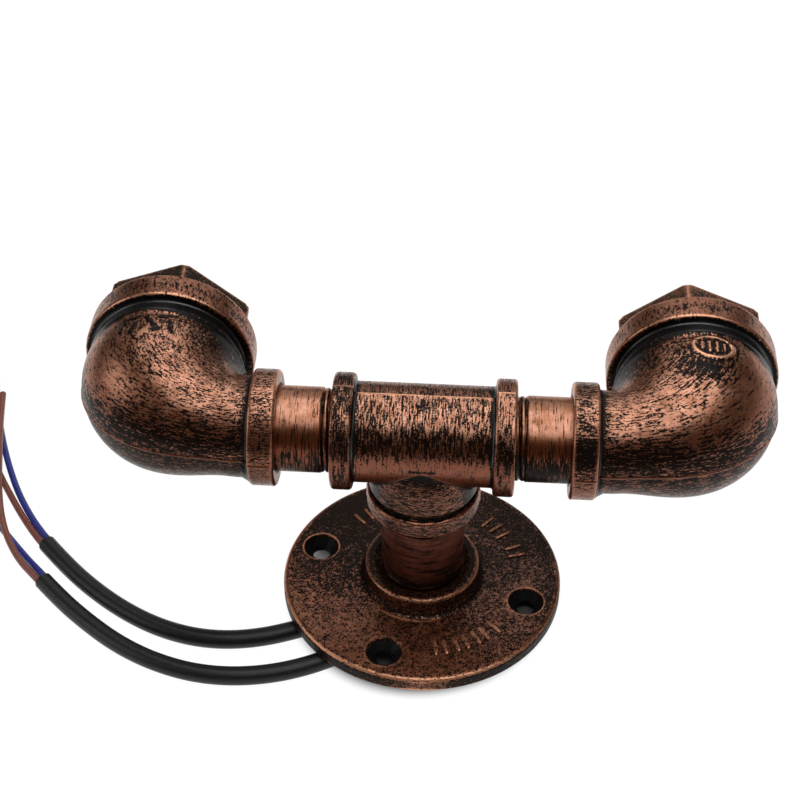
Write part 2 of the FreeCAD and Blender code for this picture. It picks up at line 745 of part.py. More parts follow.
os.makedirs("parts", exist_ok=True)
save("wall_flange", wall_flange())
save("stem_nipple", stem_nipple())
save("pipe_tee", pipe_tee())
save("cable_grommet", cable_grommet())
save("left_cable", tube("left cable", as_vectors(left_cable_points), cable_r))
save("right_cable", tube("right cable", as_vectors(right_cable_points), cable_r))
save("left_core_blue", tube("left blue", as_vectors(left_blue_points), core_r))
save("left_core_brown", tube("left brown", as_vectors(left_brown_points), core_r))
save("right_core_brown", tube("right brown", as_vectors(right_brown_points), core_r))
save("right_core_blue", tube("right blue", as_vectors(right_blue_points), core_r))
save("conductor_ends", conductor(left_blue_points), conductor(left_brown_points),
     conductor(right_brown_points), conductor(right_blue_points))
for side, name in ((-1, "left_"), (1, "right_")):
    save(name + "stem_lead", stem_lead(side))
    save(name + "arm_nipple", arm_nipple(side))
    save(name + "elbow", elbow(side))
    save(name + "hex_bush", hex_bush(side))
    save(name + "retaining_ring", retaining_ring(side))
    save(name + "holder_body", holder_body(side))
    save(name + "screw_shell", screw_shell(side))
    save(name + "holder_cap", holder_cap(side))
    save(name + "cap_screw", cap_screw(side))
    save(name + "terminals", *terminals(side))
    save(name + "terminal_screws", *terminal_screws(side))
    save(name + "contact_foot", contact_foot(side))
    save(name + "contact_rivets", *contact_rivets(side))
    save(name + "centre_contact", centre_contact(side))
    save(name + "lead", head_lead(side))
    save(name + "lead_brown", head_core(side, line_place, core_side))
    save(name + "lead_blue", head_core(side, neutral_place, -core_side))
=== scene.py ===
import json
import math
import bmesh
import bpy
import numpy as np
from mathutils import Matrix, Vector


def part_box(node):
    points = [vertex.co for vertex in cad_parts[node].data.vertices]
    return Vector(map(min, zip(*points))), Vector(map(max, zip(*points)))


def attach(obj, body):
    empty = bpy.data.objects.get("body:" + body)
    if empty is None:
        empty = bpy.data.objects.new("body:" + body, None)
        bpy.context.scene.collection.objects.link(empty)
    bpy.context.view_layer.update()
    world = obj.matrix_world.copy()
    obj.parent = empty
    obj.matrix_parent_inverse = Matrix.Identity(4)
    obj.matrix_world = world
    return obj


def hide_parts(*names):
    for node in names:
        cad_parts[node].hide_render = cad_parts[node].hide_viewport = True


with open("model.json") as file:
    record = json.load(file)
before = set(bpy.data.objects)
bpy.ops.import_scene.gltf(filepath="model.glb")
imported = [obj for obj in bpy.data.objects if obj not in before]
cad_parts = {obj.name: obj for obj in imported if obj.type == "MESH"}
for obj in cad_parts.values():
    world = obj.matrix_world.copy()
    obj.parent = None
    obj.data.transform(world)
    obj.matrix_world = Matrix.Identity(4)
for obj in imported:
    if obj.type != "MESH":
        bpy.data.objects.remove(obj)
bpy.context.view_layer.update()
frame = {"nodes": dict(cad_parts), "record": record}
scene = bpy.context.scene
scene.view_settings.view_transform = "Standard"
mm = 0.001
print("frame loaded:", len(frame["nodes"]), "nodes")


def boxOf(node):  # a node's lowest and highest corners in mm
    low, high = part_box(node)
    return np.array(low) / mm, np.array(high) / mm


def addObject(name, data):
    added = bpy.data.objects.new(name, data)
    scene.collection.objects.link(added)
    return added


# Camera: above the front, a little to the right, at the photograph's angle
cameraLook = {
    "azimuth": 3.388, "elevation": 41.277, "roll": 0.241,
    "lens": 80.59, "distance": 568.7,
    "aim": (0, 0, 50), "aimPixel": (423.6, 476.08), "frameSize": 800,
}


def makeCamera(look):
    turn, rise, roll = (math.radians(look[k]) for k in ("azimuth", "elevation", "roll"))
    back = Vector((math.sin(turn) * math.cos(rise), -math.cos(turn) * math.cos(rise), math.sin(rise)))
    level = Vector((math.cos(turn), math.sin(turn), 0))
    right = level * math.cos(roll) + back.cross(level) * math.sin(roll)
    up = back.cross(right)
    data = bpy.data.cameras.new("camera")
    data.lens = look["lens"]
    data.sensor_width = 36
    data.clip_start = 0.01
    data.clip_end = 50
    # the aim point stands off the middle of the frame by this much, at its distance
    pixel = look["distance"] * data.sensor_width / data.lens / look["frameSize"]
    across = (look["aimPixel"][0] - look["frameSize"] / 2) * pixel
    down = (look["aimPixel"][1] - look["frameSize"] / 2) * pixel
    place = Vector(look["aim"]) + back * look["distance"] - right * across + up * down
    camera = addObject("camera", data)
    turned = Matrix((right, up, back)).transposed().to_4x4()
    camera.matrix_world = Matrix.Translation(place * mm) @ turned
    scene.camera = camera


makeCamera(cameraLook)


# Materials
class Wiring:
    # a new material, with short names for the nodes that it is made of
    def __init__(self, name):
        self.material = bpy.data.materials.new(name)
        self.material.use_nodes = True
        self.nodes = self.material.node_tree.nodes
        self.nodes.clear()
        self.surface = self.nodes.new("ShaderNodeOutputMaterial").inputs["Surface"]
        self.shader = self.nodes.new("ShaderNodeBsdfPrincipled")
        self.feed(self.surface, self.shader.outputs[0])

    def feed(self, socket, value):
        if isinstance(value, bpy.types.NodeSocket):
            self.material.node_tree.links.new(value, socket)
        elif value is not None:
            socket.default_value = value

    def fill(self, node, inputs):
        for socket, value in inputs.items():
            self.feed(node.inputs[socket], value)

    def add(self, kind, inputs, output, **settings):
        node = self.nodes.new("ShaderNode" + kind)
        for name, value in settings.items():
            setattr(node, name, value)
        self.fill(node, inputs)
        return node.outputs[output]

    def place(self):
        return self.add("TexCoord", {}, "Object")

    def brush(self):
        return self.add("Attribute", {}, "Vector", attribute_name="brush")

    def value(self, attribute):
        return self.add("Attribute", {}, "Fac", attribute_name=attribute)

    def stretch(self, vector, scale):
        return self.add("Mapping", {"Vector": vector, "Scale": scale}, "Vector")

    def noise(self, vector, scale, detail=2.0, roughness=0.55, distortion=0.0):
        return self.add("TexNoise", {"Vector": vector, "Scale": scale, "Detail": detail,
                                     "Roughness": roughness, "Distortion": distortion}, "Fac")

    def along(self, vector, way):
        return self.add("VectorMath", {0: vector, 1: way}, "Value", operation="DOT_PRODUCT")

    def sum(self, operation, *values):
        return self.add("Math", dict(enumerate(values)), 0, operation=operation)

    def span(self, value, low, high, toLow=0.0, toHigh=1.0, smooth=False):
        ends = {"Value": value, "From Min": low, "From Max": high, "To Min": toLow, "To Max": toHigh}
        kind = "SMOOTHSTEP" if smooth else "LINEAR"
        return self.add("MapRange", ends, "Result", interpolation_type=kind)

    def blend(self, factor, first, second):
        node = self.nodes.new("ShaderNodeMix")
        node.data_type = "RGBA"
        self.feed(node.inputs["Factor"], factor)
        colours = [s for s in node.inputs if s.type == "RGBA"]
        for socket, value in zip(colours, (first, second)):
            self.feed(socket, value if isinstance(value, bpy.types.NodeSocket) else (*value, 1))
        return [s for s in node.outputs if s.type == "RGBA"][0]

    def bump(self, height, distance, below=None):
        return self.add("Bump", {"Height": height, "Distance": distance, "Normal": below}, "Normal")


# Free cables and their cores: the route's points in mm
cableEnd = 8.5      # height of the grommet's lower face, where both cables leave it
leftCable = [
    (0, 4.1, cableEnd), (0, 4.1, 2.0), (-4.4, 0.9, -3.35), (-11.6, -3.9, -3.35),
    (-23.5, -11.6, -3.3), (-38.8, -19.6, -3.3), (-54.0, -24.4, -4.1), (-69.2, -25.0, -4.9),
    (-84.3, -21.0, -5.7), (-98.8, -13.2, -6.3), (-112.6, -2.6, -6.8), (-124.2, 8.6, -7.1),
    (-131.9, 17.3, -7.3)]
rightCable = [
    (4.0, -1.1, cableEnd), (4.0, -1.1, 2.0), (0.4, -5.2, -3.35), (-5.0, -11.6, -3.35),
    (-14.0, -21.2, -3.3), (-26.0, -30.6, -3.3), (-40.4, -37.2, -3.9), (-55.4, -40.0, -4.7),
    (-70.4, -39.2, -5.5), (-85.2, -34.6, -6.2), (-99.2, -27.0, -6.8), (-112.4, -16.6, -7.3),
    (-122.4, -7.4, -7.6), (-129.6, 0.2, -7.7)]
coreLook = {"side": 1.275, "straight": 5.0}


def leaving(cable, offset):  # a core's first two points: square out of its sheath, beside the axis
    end, before = Vector(cable[-1]), Vector(cable[-2])
    along = (end - before).normalized()
    first = end + along.cross(Vector((0, 0, 1))).normalized() * offset
    return [tuple(first), tuple(first + along * coreLook["straight"])]


leftBlue = leaving(leftCable, coreLook["side"]) + [
    (-140.6, 30.6, -7.9), (-147.6, 42.4, -8.8), (-153.4, 54.4, -9.2),
    (-158.8, 67.2, -9.3), (-163.6, 80.6, -9.2), (-167.8, 94.2, -8.9), (-170.6, 106.0, -8.6)]
leftBrown = leaving(leftCable, -coreLook["side"]) + [
    (-143.4, 30.6, -8.6), (-150.9, 42.6, -9.6), (-158.2, 55.0, -10.3),
    (-165.0, 68.4, -10.2), (-170.6, 82.4, -9.9), (-174.8, 95.6, -9.6), (-177.4, 106.4, -9.2)]
rightBrown = leaving(rightCable, -coreLook["side"]) + [
    (-139.8, 8.8, -7.4), (-146.3, 18.8, -7.0), (-151.0, 29.8, -6.4), (-154.4, 41.6, -5.9),
    (-157.2, 54.2, -5.7), (-160.0, 67.4, -5.7), (-162.8, 81.0, -6.1), (-165.2, 94.6, -7.0)]
rightBlue = leaving(rightCable, coreLook["side"]) + [
    (-138.2, 12.2, -9.9), (-146.6, 22.0, -10.3), (-155.2, 32.6, -10.9), (-163.2, 44.2, -11.2),
    (-170.2, 57.0, -11.2), (-176.0, 70.2, -11.0), (-179.6, 82.0, -10.7)]


def plainFinish(name, colour, roughness, metallic=0.0, specular=0.5, coat=0.0, mottle=0.12,
                scale=400, grain=0.00002, stretch=(1, 1, 1)):
    # one colour with a slight mottle in its shade and gloss, and a fine grain
    w = Wiring(name)
    here = w.stretch(w.place(), stretch)
    cloud = w.noise(here, scale, 3.0, 0.6)
    darker = tuple(c * (1 - mottle) for c in colour)
    lighter = tuple(min(1, c * (1 + mottle)) for c in colour)
    gloss = w.noise(here, scale * 2.3, 2.0)
    w.fill(w.shader, {
        "Base Color": w.blend(w.span(cloud, 0.3, 0.7), darker, lighter),
        "Roughness": w.span(gloss, 0.3, 0.7, roughness - 0.06, roughness + 0.06),
        "Metallic": metallic, "Specular IOR Level": specular, "Coat Weight": coat,
        "Normal": w.bump(cloud, grain),
    })
    return w.material


plainLooks = {
    "sheath": dict(colour=(0.009, 0.0088, 0.0088), roughness=0.40, specular=0.32, grain=0.00001),
    "blue_insulation": dict(colour=(0.016, 0.024, 0.20), roughness=0.38, grain=0.00001),
    "brown_insulation": dict(colour=(0.19, 0.052, 0.032), roughness=0.38, grain=0.00001),
    "conductor_copper": dict(colour=(0.72, 0.36, 0.20), roughness=0.3, metallic=1.0, scale=2500),
    "porcelain": dict(colour=(0.80, 0.77, 0.70), roughness=0.14, mottle=0.03, scale=250, coat=0.5,
                      grain=0.00003),
    "shell_metal": dict(colour=(0.74, 0.60, 0.33), roughness=0.30, metallic=1.0, mottle=0.2, scale=700,
                        stretch=(1, 0.25, 1)),
    "contact_metal": dict(colour=(0.78, 0.58, 0.28), roughness=0.27, metallic=1.0, mottle=0.2, scale=900),
    "terminal_metal": dict(colour=(0.70, 0.53, 0.26), roughness=0.33, metallic=1.0, mottle=0.25,
                           scale=900),
    "steel": dict(colour=(0.58, 0.58, 0.57), roughness=0.34, metallic=1.0, mottle=0.18, scale=900),
    "fibre": dict(colour=(0.085, 0.075, 0.065), roughness=0.75, mottle=0.3, scale=1200, grain=0.0001),
    "grommet_rubber": dict(colour=(0.02, 0.02, 0.02), roughness=0.6, mottle=0.2, scale=900),
}
finishes = {slot: plainFinish(slot.replace("_", " "), **look) for slot, look in plainLooks.items()}


def makeCord(name, points, diameter, slot, replaced):
    curve = bpy.data.curves.new(name, "CURVE")
    curve.dimensions = "3D"
    curve.bevel_depth = diameter / 2 * mm
    curve.bevel_resolution = 8
    curve.use_fill_caps = True
    spline = curve.splines.new("NURBS")
    spline.points.add(len(points) - 1)
    for spot, place in zip(spline.points, points):
        spot.co = (*(c * mm for c in place), 1)
    spline.order_u = 3
    spline.use_endpoint_u = True
    spline.resolution_u = 12
    curve.materials.append(finishes[slot])
    cord = addObject(name, curve)
    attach(cord, "flange")
    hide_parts(replaced)
    return cord


cordLook = {
    # name: route, length as the solid's and diameter in mm, slot
    "left_cable": (leftCable, 161.7, 6.2, "sheath"),
    "right_cable": (rightCable, 168.4, 6.2, "sheath"),
    "left_core_blue": (leftBlue, 97.3, 2.4, "blue_insulation"),
    "left_core_brown": (leftBrown, 101.4, 2.4, "brown_insulation"),
    "right_core_brown": (rightBrown, 103.5, 2.4, "brown_insulation"),
    "right_core_blue": (rightBlue, 96.8, 2.4, "blue_insulation"),
}


def makeCords(looks):
    for node, (route, length, diameter, slot) in looks.items():
        cord = makeCord(node + "_run", route, diameter, slot, node)


makeCords(cordLook)
print("cords made")


# Antique copper: copper rubbed over black. The brush attribute holds each point's place on its
# fitting as if that were straight, (across, across, along), and the rub attribute holds where the
# rubbing pad reached: above 0 on crowns and edges, below 0 in creases; in some places it also holds
# painted shade and painted light, noted where they are set. The third attribute, 0 to 1, is painted
# shade: where the copper is redder and darker, as copper looks in shade.
copperLook = {
    "black": (0.006, 0.0055, 0.0055),       # paint that the pad never reached
    "stained": (0.0065, 0.0032, 0.0021),    # black between the specks
    "thin": (0.050, 0.019, 0.010), "deep": (0.24, 0.078, 0.026), "bright": (0.51, 0.230, 0.136),
    "polished": (0.60, 0.275, 0.155),       # worn edges
    "shadedCopper": (0.205, 0.047, 0.011),          # painted shade: the copper's colour where the shade attribute is 1
    "cover": 0.6,           # 0.5 leaves half of the surface black, and 1 very little of it
    "contrast": 8.0,
    "strokeAcross": 1100, "strokeAlong": 300,   # noise per metre, across and along the brush
    "alongPipe": False,     # strokes run along the pipe, or round it
    "strokeShare": 0.5, "speckScale": 1100, "patchScale": 90, "patchShare": 0.5,
    "edge": 0.06,           # softness of the copper's edge against the black
    "copperRoughness": 0.34, "blackRoughness": 0.30,
    "grain": 0.00007, "lacquer": 0.66,
    "calm": None,           # way, from, to and share: where along that way the specks fade
}


def rubbedCopper(name, **changes):
    look = {**copperLook, **changes}
    w = Wiring(name)
    here = w.place()
    across, along = look["strokeAcross"], look["strokeAlong"]
    if not look["alongPipe"]:
        across, along = along, across
    brushed = w.stretch(w.brush(), (across * mm, across * mm, along * mm))
    strokes = w.noise(brushed, 1.0, 2.5, 0.65, 0.25)
    specks = w.noise(w.brush(), look["speckScale"] * mm, 3.0, 0.68, 0.4)
    patches = w.noise(here, look["patchScale"], 3.0, 0.6)
    mixed = w.sum("ADD", w.sum("MULTIPLY", strokes, look["strokeShare"]),
                  w.sum("MULTIPLY", specks, 1 - look["strokeShare"]))
    spread = w.sum("MULTIPLY_ADD", mixed, look["contrast"], -0.5 * look["contrast"])
    if look["calm"]:
        way, start, end, share = look["calm"]
        spread = w.sum("MULTIPLY", spread, w.span(w.along(here, way), start, end, 1, 1 - share, True))
    reach = w.sum("MULTIPLY_ADD", patches, look["patchShare"] * 2, look["cover"] - look["patchShare"])
    rubbed = w.sum("ADD", w.sum("ADD", spread, reach), w.value("rub"))
    mask = w.span(rubbed, 0.5 - look["edge"], 0.5 + look["edge"], smooth=True)
    shade = w.span(w.noise(here, 260, 2.0, 0.6), 0.3, 0.7)
    copper = w.blend(shade, look["deep"], look["bright"])
    copper = w.blend(w.span(w.value("rub"), 0.45, 1.0), copper, look["polished"])
    # painted shade: redder, darker copper where the shade attribute is high
    copper = w.blend(w.value("paintedShade"), copper, look["shadedCopper"])
    worn = w.blend(w.span(rubbed, 0.5 - look["edge"], 1.0), look["thin"], copper)
    reached = w.span(w.value("rub"), -1.7, -0.9)
    black = w.blend(reached, look["black"], look["stained"])
    rough = w.span(mask, 0, 1, look["blackRoughness"], look["copperRoughness"])
    casting = w.bump(w.noise(here, 800, 3.0, 0.6), look["grain"])
    w.fill(w.shader, {
        "Base Color": w.blend(mask, black, worn),
        "Specular Tint": w.blend(reached, (1, 1, 1), (1, 0.72, 0.58)),
        "Metallic": w.span(mask, 0, 1, 0.0, 0.85),
        # bare paint is glossiest where the pad never reached
        "Specular IOR Level": w.span(w.value("rub"), -3.0, -2.1, 0.75, 0.08),
        "Coat Weight": w.span(mask, 0, 1, 0, look["lacquer"]), "Coat IOR": 1.55, "Coat Roughness": 0.3,
        "Roughness": w.sum("MULTIPLY_ADD", w.noise(here, 600, 2.0), 0.2, w.sum("SUBTRACT", rough, 0.1)),
        "Normal": w.bump(mask, look["grain"] * 0.3, below=casting),
    })
    return w.material


# Surfaces
def smooth(t):  # 0 to 1, level at both ends
    t = np.clip(t, 0, 1)
    return t * t * (3 - 2 * t)


def bell(distance, width):  # 1 in the middle and 0.37 at this distance from it
    return np.exp(-(distance / width) ** 2)


def ridge(distance, height, width):
    return height * bell(distance, width)


def roundedOutline(corners, step, edgeReach=0.75):
    # Corners (radius, along, rounding) become an open outline: straight runs cut into steps, and an
    # arc that touches both runs at each rounded corner. With it goes the rub: +1 on an outside
    # corner and -1 in an inside one, fading as a bell curve with the distance along the outline.
    spots = np.array([c[:2] for c in corners], float)
    pieces, turns = [], []
    ahead = np.roll(spots, -1, axis=0)
    area = 0.5 * np.sum(spots[:, 0] * ahead[:, 1] - ahead[:, 0] * spots[:, 1])
    for k, here in enumerate(spots):
        rounding = corners[k][2]
        if k in (0, len(spots) - 1):
            pieces.append(here[None])
            turns.append(0.0)
            continue
        back = spots[k - 1] - here
        ahead = spots[k + 1] - here
        back /= np.linalg.norm(back)
        ahead /= np.linalg.norm(ahead)
        half = math.acos(np.clip(back @ ahead, -1, 1)) / 2
        outside = np.sign(back[1] * ahead[0] - back[0] * ahead[1]) * np.sign(area)
        turns.append(outside * math.cos(half) ** 2 * 2)
        if rounding == 0:
            pieces.append(here[None])
            continue
        toMiddle = (back + ahead) / np.linalg.norm(back + ahead)
        centre = here + toMiddle * rounding / math.sin(half)
        start = here + back * rounding / math.tan(half) - centre
        swing = math.pi - 2 * half
        parts = max(3, int(math.ceil(swing * rounding / step)) + 1, int(math.ceil(swing / 0.3)) + 1)
        end = here + ahead * rounding / math.tan(half) - centre
        side = np.sign(start[0] * end[1] - start[1] * end[0])
        angle = math.atan2(start[1], start[0]) + side * np.linspace(0, swing, parts)
        pieces.append(centre + rounding * np.stack([np.cos(angle), np.sin(angle)], 1))
    rows = []
    for piece, following in zip(pieces, pieces[1:]):
        start, end = piece[-1], following[0]
        parts = int(math.ceil(np.linalg.norm(end - start) / step))
        share = np.linspace(0, 1, max(parts, 1) + 1)[1:-1, None]
        rows += [piece, start + (end - start) * share]
    points = np.concatenate(rows + [pieces[-1]])
    length = np.concatenate([[0], np.cumsum(np.linalg.norm(np.diff(points, axis=0), axis=1))])
    nearest = np.argmin(np.linalg.norm(points[:, None] - spots, axis=2), axis=0)
    gap = length[:, None] - length[nearest]
    return points, np.clip(np.sum(np.array(turns) * bell(gap, edgeReach), axis=1), -1, 1)


def roundAngles(count):
    return np.linspace(0, 2 * math.pi, count, endpoint=False)


def gridFaces(rows, columns, closeRows):
    # quads between neighbouring rows and columns of a grid of points whose columns close up
    index = np.arange(rows * columns).reshape(rows, columns)
    if closeRows:
        index = np.concatenate([index, index[:1]])
    index = np.concatenate([index, index[:, :1]], axis=1)
    quads = np.stack([index[:-1, :-1], index[1:, :-1], index[1:, 1:], index[:-1, 1:]], axis=-1)
    return quads.reshape(-1, 4)


def makePiece(name, points, quads, body, material, replaces, rub, brush, paintedShade=None, sharp=38,
              weld=False):
    # points in mm. Faces are turned round if the volume that they close comes out negative.
    points = np.asarray(points, float).reshape(-1, 3)
    a, b, c, d = (points[quads[:, k]] for k in range(4))
    if np.sum(a * (np.cross(b, c) + np.cross(c, d))) < 0:
        quads = quads[:, ::-1]
    mesh = bpy.data.meshes.new(name)
    mesh.from_pydata(points * mm, [], quads)
    for attribute, kind, key, values in (("rub", "FLOAT", "value", rub), ("paintedShade", "FLOAT", "value", paintedShade),
                                         ("brush", "FLOAT_VECTOR", "vector", brush)):
        if values is not None:
            layer = mesh.attributes.new(attribute, kind, "POINT")
            layer.data.foreach_set(key, np.asarray(values, np.float32).ravel())
    if weld:
        weldMesh(mesh)
    mesh.shade_smooth()
    mesh.set_sharp_from_angle(angle=math.radians(sharp))
    mesh.materials.append(material)
    piece = addObject(name, mesh)
    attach(piece, body)
    if replaces:
        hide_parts(*replaces)


def weldMesh(mesh):  # joins the points that patches share along their seams
    shell = bmesh.new()
    shell.from_mesh(mesh)
    bmesh.ops.remove_doubles(shell, verts=shell.verts, dist=0.002 * mm)
    shell.to_mesh(mesh)
    shell.free()


class Patches:
    # collects grids that share their edges into one piece, each with its rub, brush and painted shade
    def __init__(self):
        self.parts, self.count = [], 0

    def add(self, grid, rub, brush=None, paintedShade=0, flip=False):
        rows, columns = grid.shape[:2]
        quads = gridFaces(rows, columns, False) + self.count
        brush = grid if brush is None else brush
        rub, paintedShade = (np.broadcast_to(value, (rows, columns)).ravel() for value in (rub, paintedShade))
        self.parts.append((grid.reshape(-1, 3), quads[:, ::-1] if flip else quads, rub,
                           brush.reshape(-1, 3), paintedShade))
        self.count += rows * columns

    def makeInto(self, name, height, body, material, replaces):
        points, faces, rub, brush, paintedShade = (np.concatenate(part) for part in zip(*self.parts))
        makePiece(name, points + (0, 0, height), faces, body, material, replaces, rub, brush, paintedShade,
                  weld=True)
        print(name, "made:", 2 * len(faces), "triangles")


def polar(radius, angles, along):
    return np.stack([radius * np.cos(angles), radius * np.sin(angles), along + 0 * angles], axis=-1)


def turnedGrid(outline, angles):  # a half section carried round the Z axis
    return polar(outline[:, :1], angles, outline[:, 1:])


def placed(local, base, axis, across):
    # local Z goes along axis and local X along across
    axis, across = np.array(axis, float), np.array(across, float)
    third = np.cross(axis, across)
    return np.array(base) + local[..., :1] * across + local[..., 1:2] * third + local[..., 2:] * axis


# Sizes read from the frame, in mm, along the run from its middle and out from the wall
elbowLow, elbowHigh = boxOf("right_elbow")
bigBandR = (elbowHigh[2] - elbowLow[2]) / 2
runHeight = (elbowHigh[2] + elbowLow[2]) / 2
elbowFace = elbowLow[0]
mouthX = elbowHigh[0] - bigBandR
bigFace = elbowHigh[1]
mouthY = boxOf("right_hex_bush")[1][1]
pipeR = boxOf("right_arm_nipple")[1][1]
teeReach, smallBandR = boxOf("pipe_tee")[1][:2]
teeFace = runHeight - teeReach
flangeR, hubHeight = boxOf("wall_flange")[1][::2]
print("run height %.2f, elbow face %.2f, mouth %.2f" % (runHeight, elbowFace, mouthX))

threadLook = {"pitch": 1.81, "crestR": 13.2, "groove": 0.55, "flank": 0.62, "boreR": 10.85}
# the threaded socket with its flared mouth, and the casting round it, of every fitting
castLook = {"socketR": 13.25, "flareR": 14.55, "flare": 1.7, "edgeRound": 1.1, "wall": 3.3}


def threadDepth(along, angle, start, shows, heading):
    # one helix: a V groove once a turn, fading in where the thread leaves its socket
    t = threadLook
    turn = (along - start) * heading / t["pitch"] - angle / (2 * math.pi)
    away = np.abs(turn - np.floor(turn) - 0.5) * t["pitch"]
    cut = np.clip(1 - away / t["flank"], 0, 1)
    reach = (along - start) * heading
    return t["groove"] * cut * smooth((shows - reach) / 0.8 + 0.2) * (reach > -1.2)


# Pipe nipples: a tube whose outside follows its threaded ends and its barrel
def pipeGrid(start, nearFace, nearShows, farFace, farShows, end, turns, shade):
    # rows run out along the outside, across the far end and back along the bore
    t = threadLook
    step = pipeR - t["crestR"]
    fineNear = np.arange(nearFace - 1.2, nearFace + nearShows + step, 0.13)
    fineFar = np.arange(farFace - farShows - step, farFace + 1.2, 0.13) if farShows else np.array([])
    coarse = np.linspace(fineNear[-1] + 0.3, (fineFar[0] if farShows else farFace) - 0.3, 24)
    along = np.concatenate([[start], fineNear, coarse, fineFar, [end - 0.4, end]])
    angles = roundAngles(turns)
    barrel = smooth((along - nearFace - nearShows) / step)
    barrel *= 1 - smooth((along - farFace + farShows) / step)
    radius = (t["crestR"] + step * barrel)[:, None] + 0 * angles
    radius -= threadDepth(along[:, None], angles, nearFace, nearShows, 1)
    if farShows:
        radius -= threadDepth(along[:, None], angles, farFace, farShows, -1)
    outside = polar(radius, angles, along[:, None])
    inside = turnedGrid(np.array([[t["boreR"], end], [t["boreR"], start]]), angles)
    depth = (radius - t["crestR"]) / t["groove"]
    rub = np.where(radius < t["crestR"] - 0.02, np.clip(depth * 1.6, -1, 0), 0.05) + shade(outside)
    rub[:4] = -1
    return np.concatenate([outside, inside]), np.concatenate([rub, -np.ones((2, turns))])


nippleLook = {**castLook, "stemShows": 4.6, "hubShows": 1.9, "armShows": 3.1, "engagement": 12.4,
              "stemStart": 1.0, "turns": 160}
pipeCopper = rubbedCopper("pipe copper", cover=0.96, strokeAcross=2900, strokeAlong=190, strokeShare=0.72,
                          speckScale=2100, patchShare=0.4, contrast=9.5, edge=0.2, grain=0.00003,
                          bright=(0.45, 0.215, 0.138), copperRoughness=0.33, lacquer=0.4)
# the stem's copper is darker than the arms': painted shade under the tee
stemCopper = rubbedCopper("stem copper", cover=0.72, strokeAcross=560, strokeAlong=70, strokeShare=0.8,
                          patchShare=0.6, contrast=4.2, edge=0.34, grain=0.00003,
                          deep=(0.10, 0.026, 0.014), bright=(0.20, 0.058, 0.032), copperRoughness=0.40,
                          lacquer=0.3)


def stemShade(points):  # painted shade: darker under the tee and at the foot
    height = points[..., 2]
    return -0.5 * smooth((height - 32) / 10) - 0.5 * smooth((16 - height) / 5)


def armShade(points, low):  # local X is up: a little more copper above the middle, and black below it, which is painted shade
    height, along = points[..., 0], points[..., 2]
    under = smooth((-height + 7) / 8)
    return 0.15 * smooth((height - 6) / 4) - low * under + 0.2 * smooth((along - 38) / 8)


def makeNipples(look):
    engaged = look["engagement"]
    grid, rub = pipeGrid(look["stemStart"], hubHeight, look["hubShows"], teeFace, look["stemShows"],
                         teeFace + engaged, look["turns"], stemShade)
    faces = gridFaces(len(grid), look["turns"], True)
    makePiece("stem_pipe", grid, faces, "crossbar", stemCopper, ["stem_nipple"], rub,
              grid)
    for side, name, low in ((-1, "left", 0.85), (1, "right", 1.2)):
        grid, rub = pipeGrid(teeReach - engaged, teeReach, look["armShows"],
                             elbowFace + look["flare"] / 2, 0, elbowFace + engaged, look["turns"],
                             lambda points: armShade(points, low))
        points = placed(grid, (0, 0, runHeight), (side, 0, 0), (0, 0, 1))
        faces = gridFaces(len(grid), look["turns"], True)
        # painted shade: redder, darker copper below the top of the pipe
        paintedShade = smooth((11.5 - grid[..., 0]) / 4.5)
        makePiece(name + "_arm_pipe", points, faces, name + "_head", pipeCopper,
                  [name + "_arm_nipple"], rub, grid, paintedShade)


makeNipples(nippleLook)
print("nipples made")


# Reducing elbows: round sections along a path that is straight, fans round the inner corner,
# and is straight again. A row is (path length, centre x, centre y, outward x, outward y, radius).
elbowLook = {
    **castLook, "neckR": 16.1, "bellyR": 25.9, "cornerR": 1.8, "swellStart": 0.08,
    "smallBand": 8.2, "smallNeckRound": 0.9, "shoulderLength": 2.6, "shoulderRound": 0.9,
    "bigNeckR": 24.6, "bigBand": 10.2, "mouthR": 20.75, "mouthDepth": 13.0,
    "bendRows": 112, "columns": 352, "step": 0.47,
    "seamHeight": 0.34, "seamWidth": 0.42, "halfStep": 0.16,
    "rollHeight": 0.85, "rollWidth": 1.9, "neckEase": 1.1, "filletReach": 3.2,
    # how much more or less the pad rubs each place
    "rubNeck": 3.4, "rubInnerNeck": 1.5, "rubFlank": 0.60, "rubCrown": 0.16, "rubCorner": 1.05,
    "rubLow": 0.95, "rubUnder": 0.6, "rubBehindBand": 1.1, "rubSeam": 1.1, "rubBigBand": 0.42,
}


def bendRadius(share, look):
    swell = smooth((share - look["swellStart"]) / (1 - look["swellStart"]))
    return look["neckR"] + (look["bellyR"] - look["neckR"]) * swell


